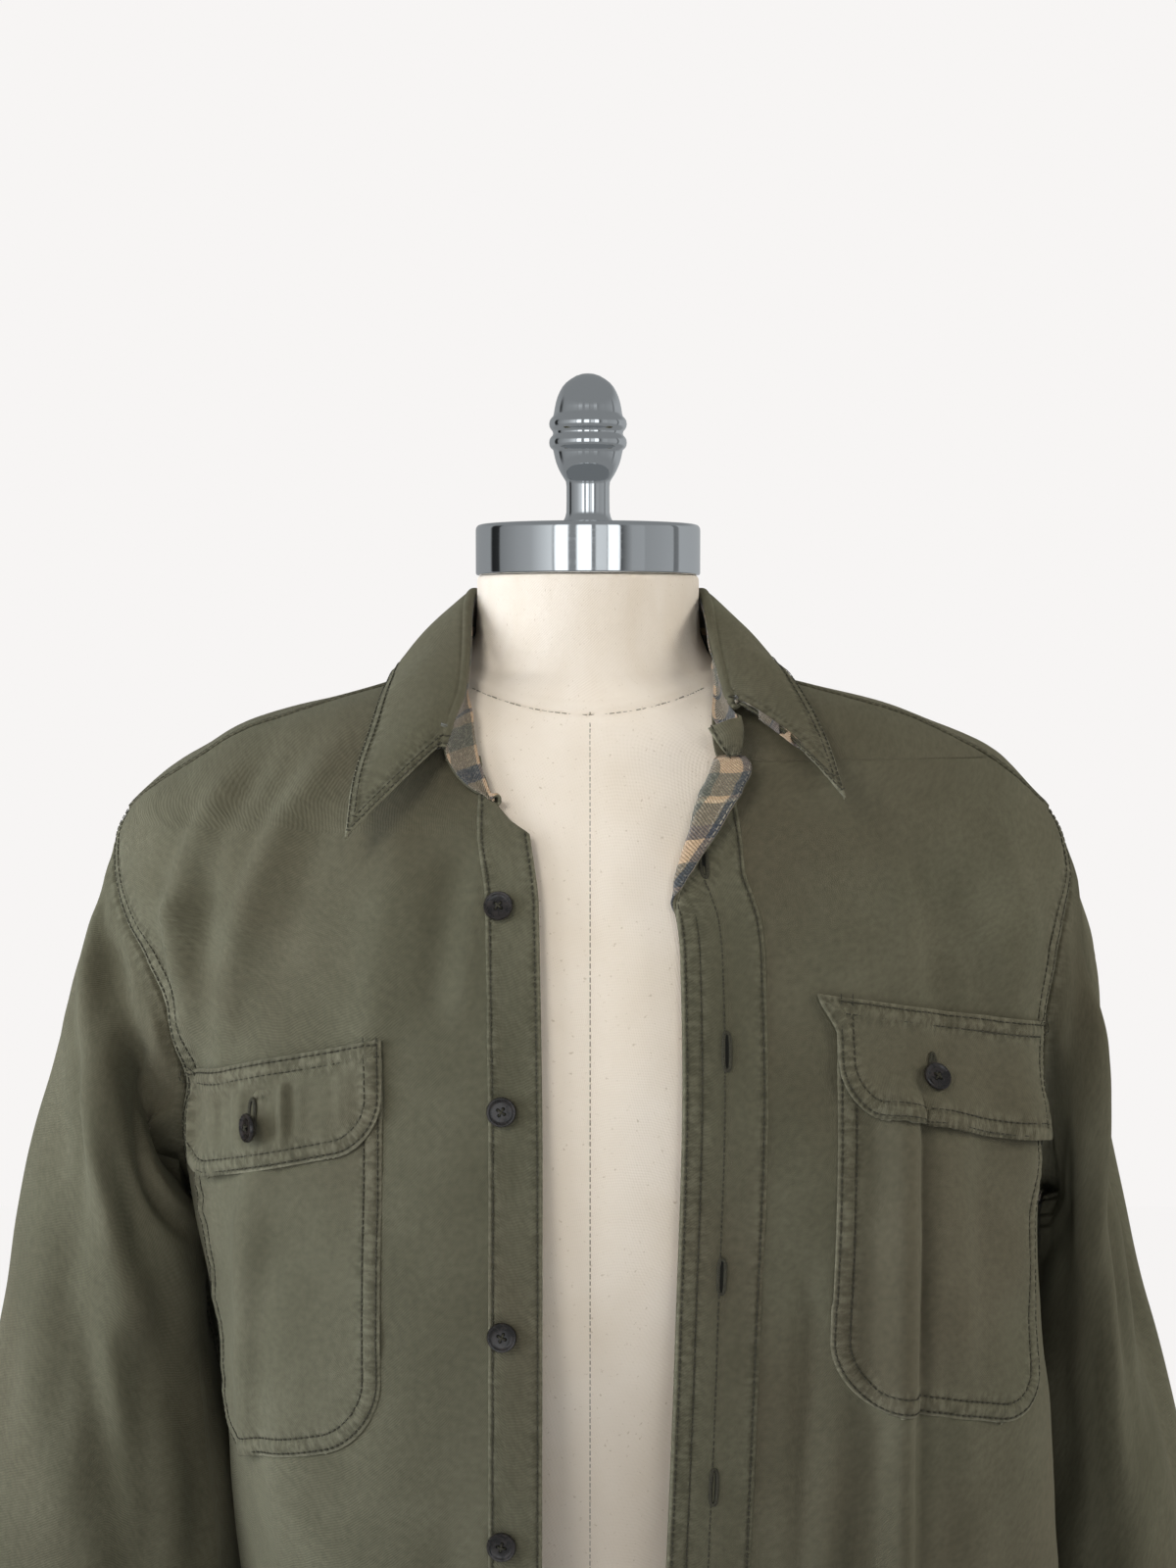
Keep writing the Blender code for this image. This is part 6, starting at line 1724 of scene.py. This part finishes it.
def stitchTree():
    tree = bpy.data.node_groups.new("stitches", "GeometryNodeTree")
    face = tree.interface
    for way in ("INPUT", "OUTPUT"):
        face.new_socket(name="Geometry", in_out=way, socket_type="NodeSocketGeometry")
    for name in ("Pitch", "Length", "Thickness"):
        face.new_socket(name=name, in_out="INPUT", socket_type="NodeSocketFloat")
    face.new_socket(name="Material", in_out="INPUT", socket_type="NodeSocketMaterial")
    given = add(tree, "NodeGroupInput").node.outputs
    normal = add(tree, "GeometryNodeInputNamedAttribute", {"Name": "clothNormal"}, data_type="FLOAT_VECTOR")
    curve = add(tree, "GeometryNodeMeshToCurve", {0: given[0]})
    even = add(tree, "GeometryNodeResampleCurve", {"Curve": curve, "Length": given["Pitch"]}, mode="LENGTH")
    points = add(tree, "GeometryNodeCurveToPoints", {"Curve": even}, mode="EVALUATED")
    radius = add(tree, "Math", {0: given["Thickness"], 1: .5}, operation="MULTIPLY")
    bar = add(tree, "GeometryNodeMeshCylinder", {"Vertices": 6, "Radius": radius, "Depth": given["Length"]},
              fill_type="TRIANGLE_FAN")
    along = add(tree, "FunctionNodeAlignRotationToVector", {"Vector": points.node.outputs["Tangent"]}, axis="Z")
    turned = add(tree, "FunctionNodeAlignRotationToVector", {"Rotation": along, "Vector": normal}, axis="X",
                 pivot_axis="Z")
    wobble = add(tree, "FunctionNodeRandomValue", {2: .85, 3: 1.15, "Seed": 4}, out=1, data_type="FLOAT")
    size = add(tree, "CombineXYZ", {0: .75, 1: 1.05, 2: wobble})
    placed = add(tree, "GeometryNodeInstanceOnPoints",
                 {"Points": points, "Instance": bar, "Rotation": turned, "Scale": size})
    real = add(tree, "GeometryNodeRealizeInstances", {0: placed})
    painted = add(tree, "GeometryNodeSetMaterial", {0: real, "Material": given["Material"]})
    add(tree, "NodeGroupOutput", {0: painted})
    return tree


def makeStitches():
    tree = stitchTree()
    sockets = {item.name: item.identifier for item in tree.interface.items_tree if item.in_out == "INPUT"}
    for (group, kind), lines in stitchLines.items():
        verts = np.concatenate(lines)
        starts = np.cumsum([0] + [len(line) for line in lines])
        edges = [(k, k + 1) for a, b in zip(starts, starts[1:]) for k in range(int(a), int(b) - 1)]
        source = bpy.data.meshes.new("rows")
        source.from_pydata(verts[:, :3].tolist(), edges, [])
        stored = source.attributes.new("clothNormal", "FLOAT_VECTOR", "POINT")
        stored.data.foreach_set("vector", unit(verts[:, 3:]).ravel())
        holder = bpy.data.objects.new("rows", source)
        bpy.context.scene.collection.objects.link(holder)
        grown = holder.modifiers.new("stitches", "NODES")
        grown.node_group = tree
        for name, key in (("Pitch", "pitch"), ("Length", "long"), ("Thickness", "thick")):
            grown[sockets[name]] = stitchLook[key] * mm
        grown[sockets["Material"]] = thread if kind == "thread" else paleThread
        graph = bpy.context.evaluated_depsgraph_get()
        data = bpy.data.meshes.new_from_object(holder.evaluated_get(graph), preserve_all_data_layers=True,
                                               depsgraph=graph)
        bpy.data.objects.remove(holder)
        data.shade_smooth()
        addPiece("stitches_" + group, data, [])


makeStitches()
print("stitches ready")


# camera, lights and ground

studio = {
    "sky": "#eef1f4", "skyPower": .08, "backdrop": "#f7f5f4", "glow": .985, "wallPower": 1.25, "ceiling": .27,
    # (degrees round from the front towards the wearer's left, brightness)
    "walls": ((-180, .30), (-119, .33), (-115, .02), (-103, .03), (-101, .24), (-60, .42), (-37, .80), (-35.5, .2),
              (-33, 1.6), (-20.5, 1.6), (-19.5, .28), (-11.5, .28), (-11, 1.6), (3.5, 1.6), (4.2, .25), (7.5, .3),
              (8.5, .8), (19.5, .75), (20, .05), (21, 1.5), (32, 1.5), (33, .07), (45, .36), (46, .38), (59, .40),
              (60, .34), (97, .40), (98, .18), (105, .20), (107, .44), (180, .38)),
    # name, place, target, size, spread in degrees, watts, colour
    "lamps": (("key", (-.85, -1.25, 1.95), (-.12, 0, 1.02), (.7, .7), 54, 1.5, "#fff8f0"),
              ("left window", (-2.0, -.7, 1.35), (0, 0, .95), (1.2, 1.4), 180, 32, "#f3f7ff"),
              ("left side", (-2.3, -.35, .62), (0, 0, .72), (1.2, 1.2), 180, 26, "#eef4ff"),
              ("right side", (2.0, -.25, 1.6), (0, 0, 1.0), (1.0, 1.0), 180, 27, "#fff9f2"),
              ("front", (.6, -2.0, 1.7), (0, 0, 1.06), (.8, .8), 34, .42, "#fffaf5")),
}


def makeStage():
    camera = bpy.data.objects.new("camera", bpy.data.cameras.new("camera"))
    camera.data.sensor_fit, camera.data.sensor_width, camera.data.lens = "HORIZONTAL", 36, 78
    camera.location = (0, -1.3, 1.016)
    camera.rotation_euler = (math.radians(90) - math.atan(150 / 2600), 0, 0)
    bpy.context.scene.collection.objects.link(camera)
    bpy.context.scene.camera = camera
    world = bpy.data.worlds.new("studio")
    world.use_nodes = True
    tree = world.node_tree
    tree.nodes.clear()
    # soft room light; what shines sees windows and dark walls round the form instead
    x, y, z = add(tree, "SeparateXYZ", {0: add(tree, "TexCoord", out="Generated")}).node.outputs
    back = add(tree, "Math", {0: y, 1: -1}, operation="MULTIPLY")
    angle = add(tree, "Math", {0: x, 1: back}, operation="ARCTAN2")
    turn = add(tree, "MapRange", {0: angle, 1: -math.pi, 2: math.pi, 3: 0, 4: 1})
    stops = [((degrees + 180) / 360, shade) for degrees, shade in studio["walls"]]
    walls = add(tree, "ValToRGB", {0: turn}, stops=stops)
    above, below = [add(tree, "MapRange", {0: z, 1: start, 2: stop}, interpolation_type="SMOOTHSTEP")
                    for start, stop in ((.22, .50), (-.15, -.40))]
    level = add(tree, "Math", {0: above, 1: below}, operation="MAXIMUM")
    inRoom = layered(tree, walls, (level, (*[studio["ceiling"]] * 3, 1)))
    bright = add(tree, "Math", {0: inRoom, 1: studio["wallPower"]}, operation="MULTIPLY")
    room, seen, shiny = [add(tree, "Background", {0: colour, 1: power}) for colour, power in (
        (studio["sky"], studio["skyPower"]), (studio["backdrop"], 1), ("#eef2f5", bright))]
    path = add(tree, "LightPath").node.outputs
    first = add(tree, "MixShader", {0: path["Is Glossy Ray"], 1: room, 2: shiny})
    add(tree, "OutputWorld", {0: add(tree, "MixShader", {0: path["Is Camera Ray"], 1: first, 2: seen})})
    bpy.context.scene.world = world
    for name, place, target, size, spreadBy, power, colour in studio["lamps"]:
        light = bpy.data.lights.new(name, "AREA")
        light.shape, light.size, light.size_y, light.energy = "RECTANGLE", *size, power
        light.spread, light.color = math.radians(spreadBy), linear(colour)[:3]
        lamp = bpy.data.objects.new(name, light)
        lamp.location = place
        lamp.visible_glossy = False
        lamp.rotation_euler = (Vector(target) - Vector(place)).to_track_quat("-Z", "Y").to_euler()
        bpy.context.scene.collection.objects.link(lamp)
    # a pale floor that fades into the background
    ground = bmesh.new()
    bmesh.ops.create_grid(ground, x_segments=8, y_segments=8, size=3.2)
    data = bpy.data.meshes.new("ground")
    ground.to_mesh(data)
    ground.free()
    paper, tree, place = newMaterial("palePaper", False)
    grain = add(tree, "TexNoise", {"Vector": place, "Scale": 40})
    # nearly all its own light, so that the lamps leave no brighter patch on it than the backdrop is
    finish(paper, layered(tree, "#2a2a29", (grain, "#2d2d2c")), .95, Specular_IOR_Level=0,
           Emission_Color=studio["backdrop"], Emission_Strength=studio["glow"])
    data.materials.append(paper)
    data.shade_smooth()
    floor = bpy.data.objects.new("ground", data)
    bpy.context.scene.collection.objects.link(floor)
    floor.visible_glossy = False


makeStage()
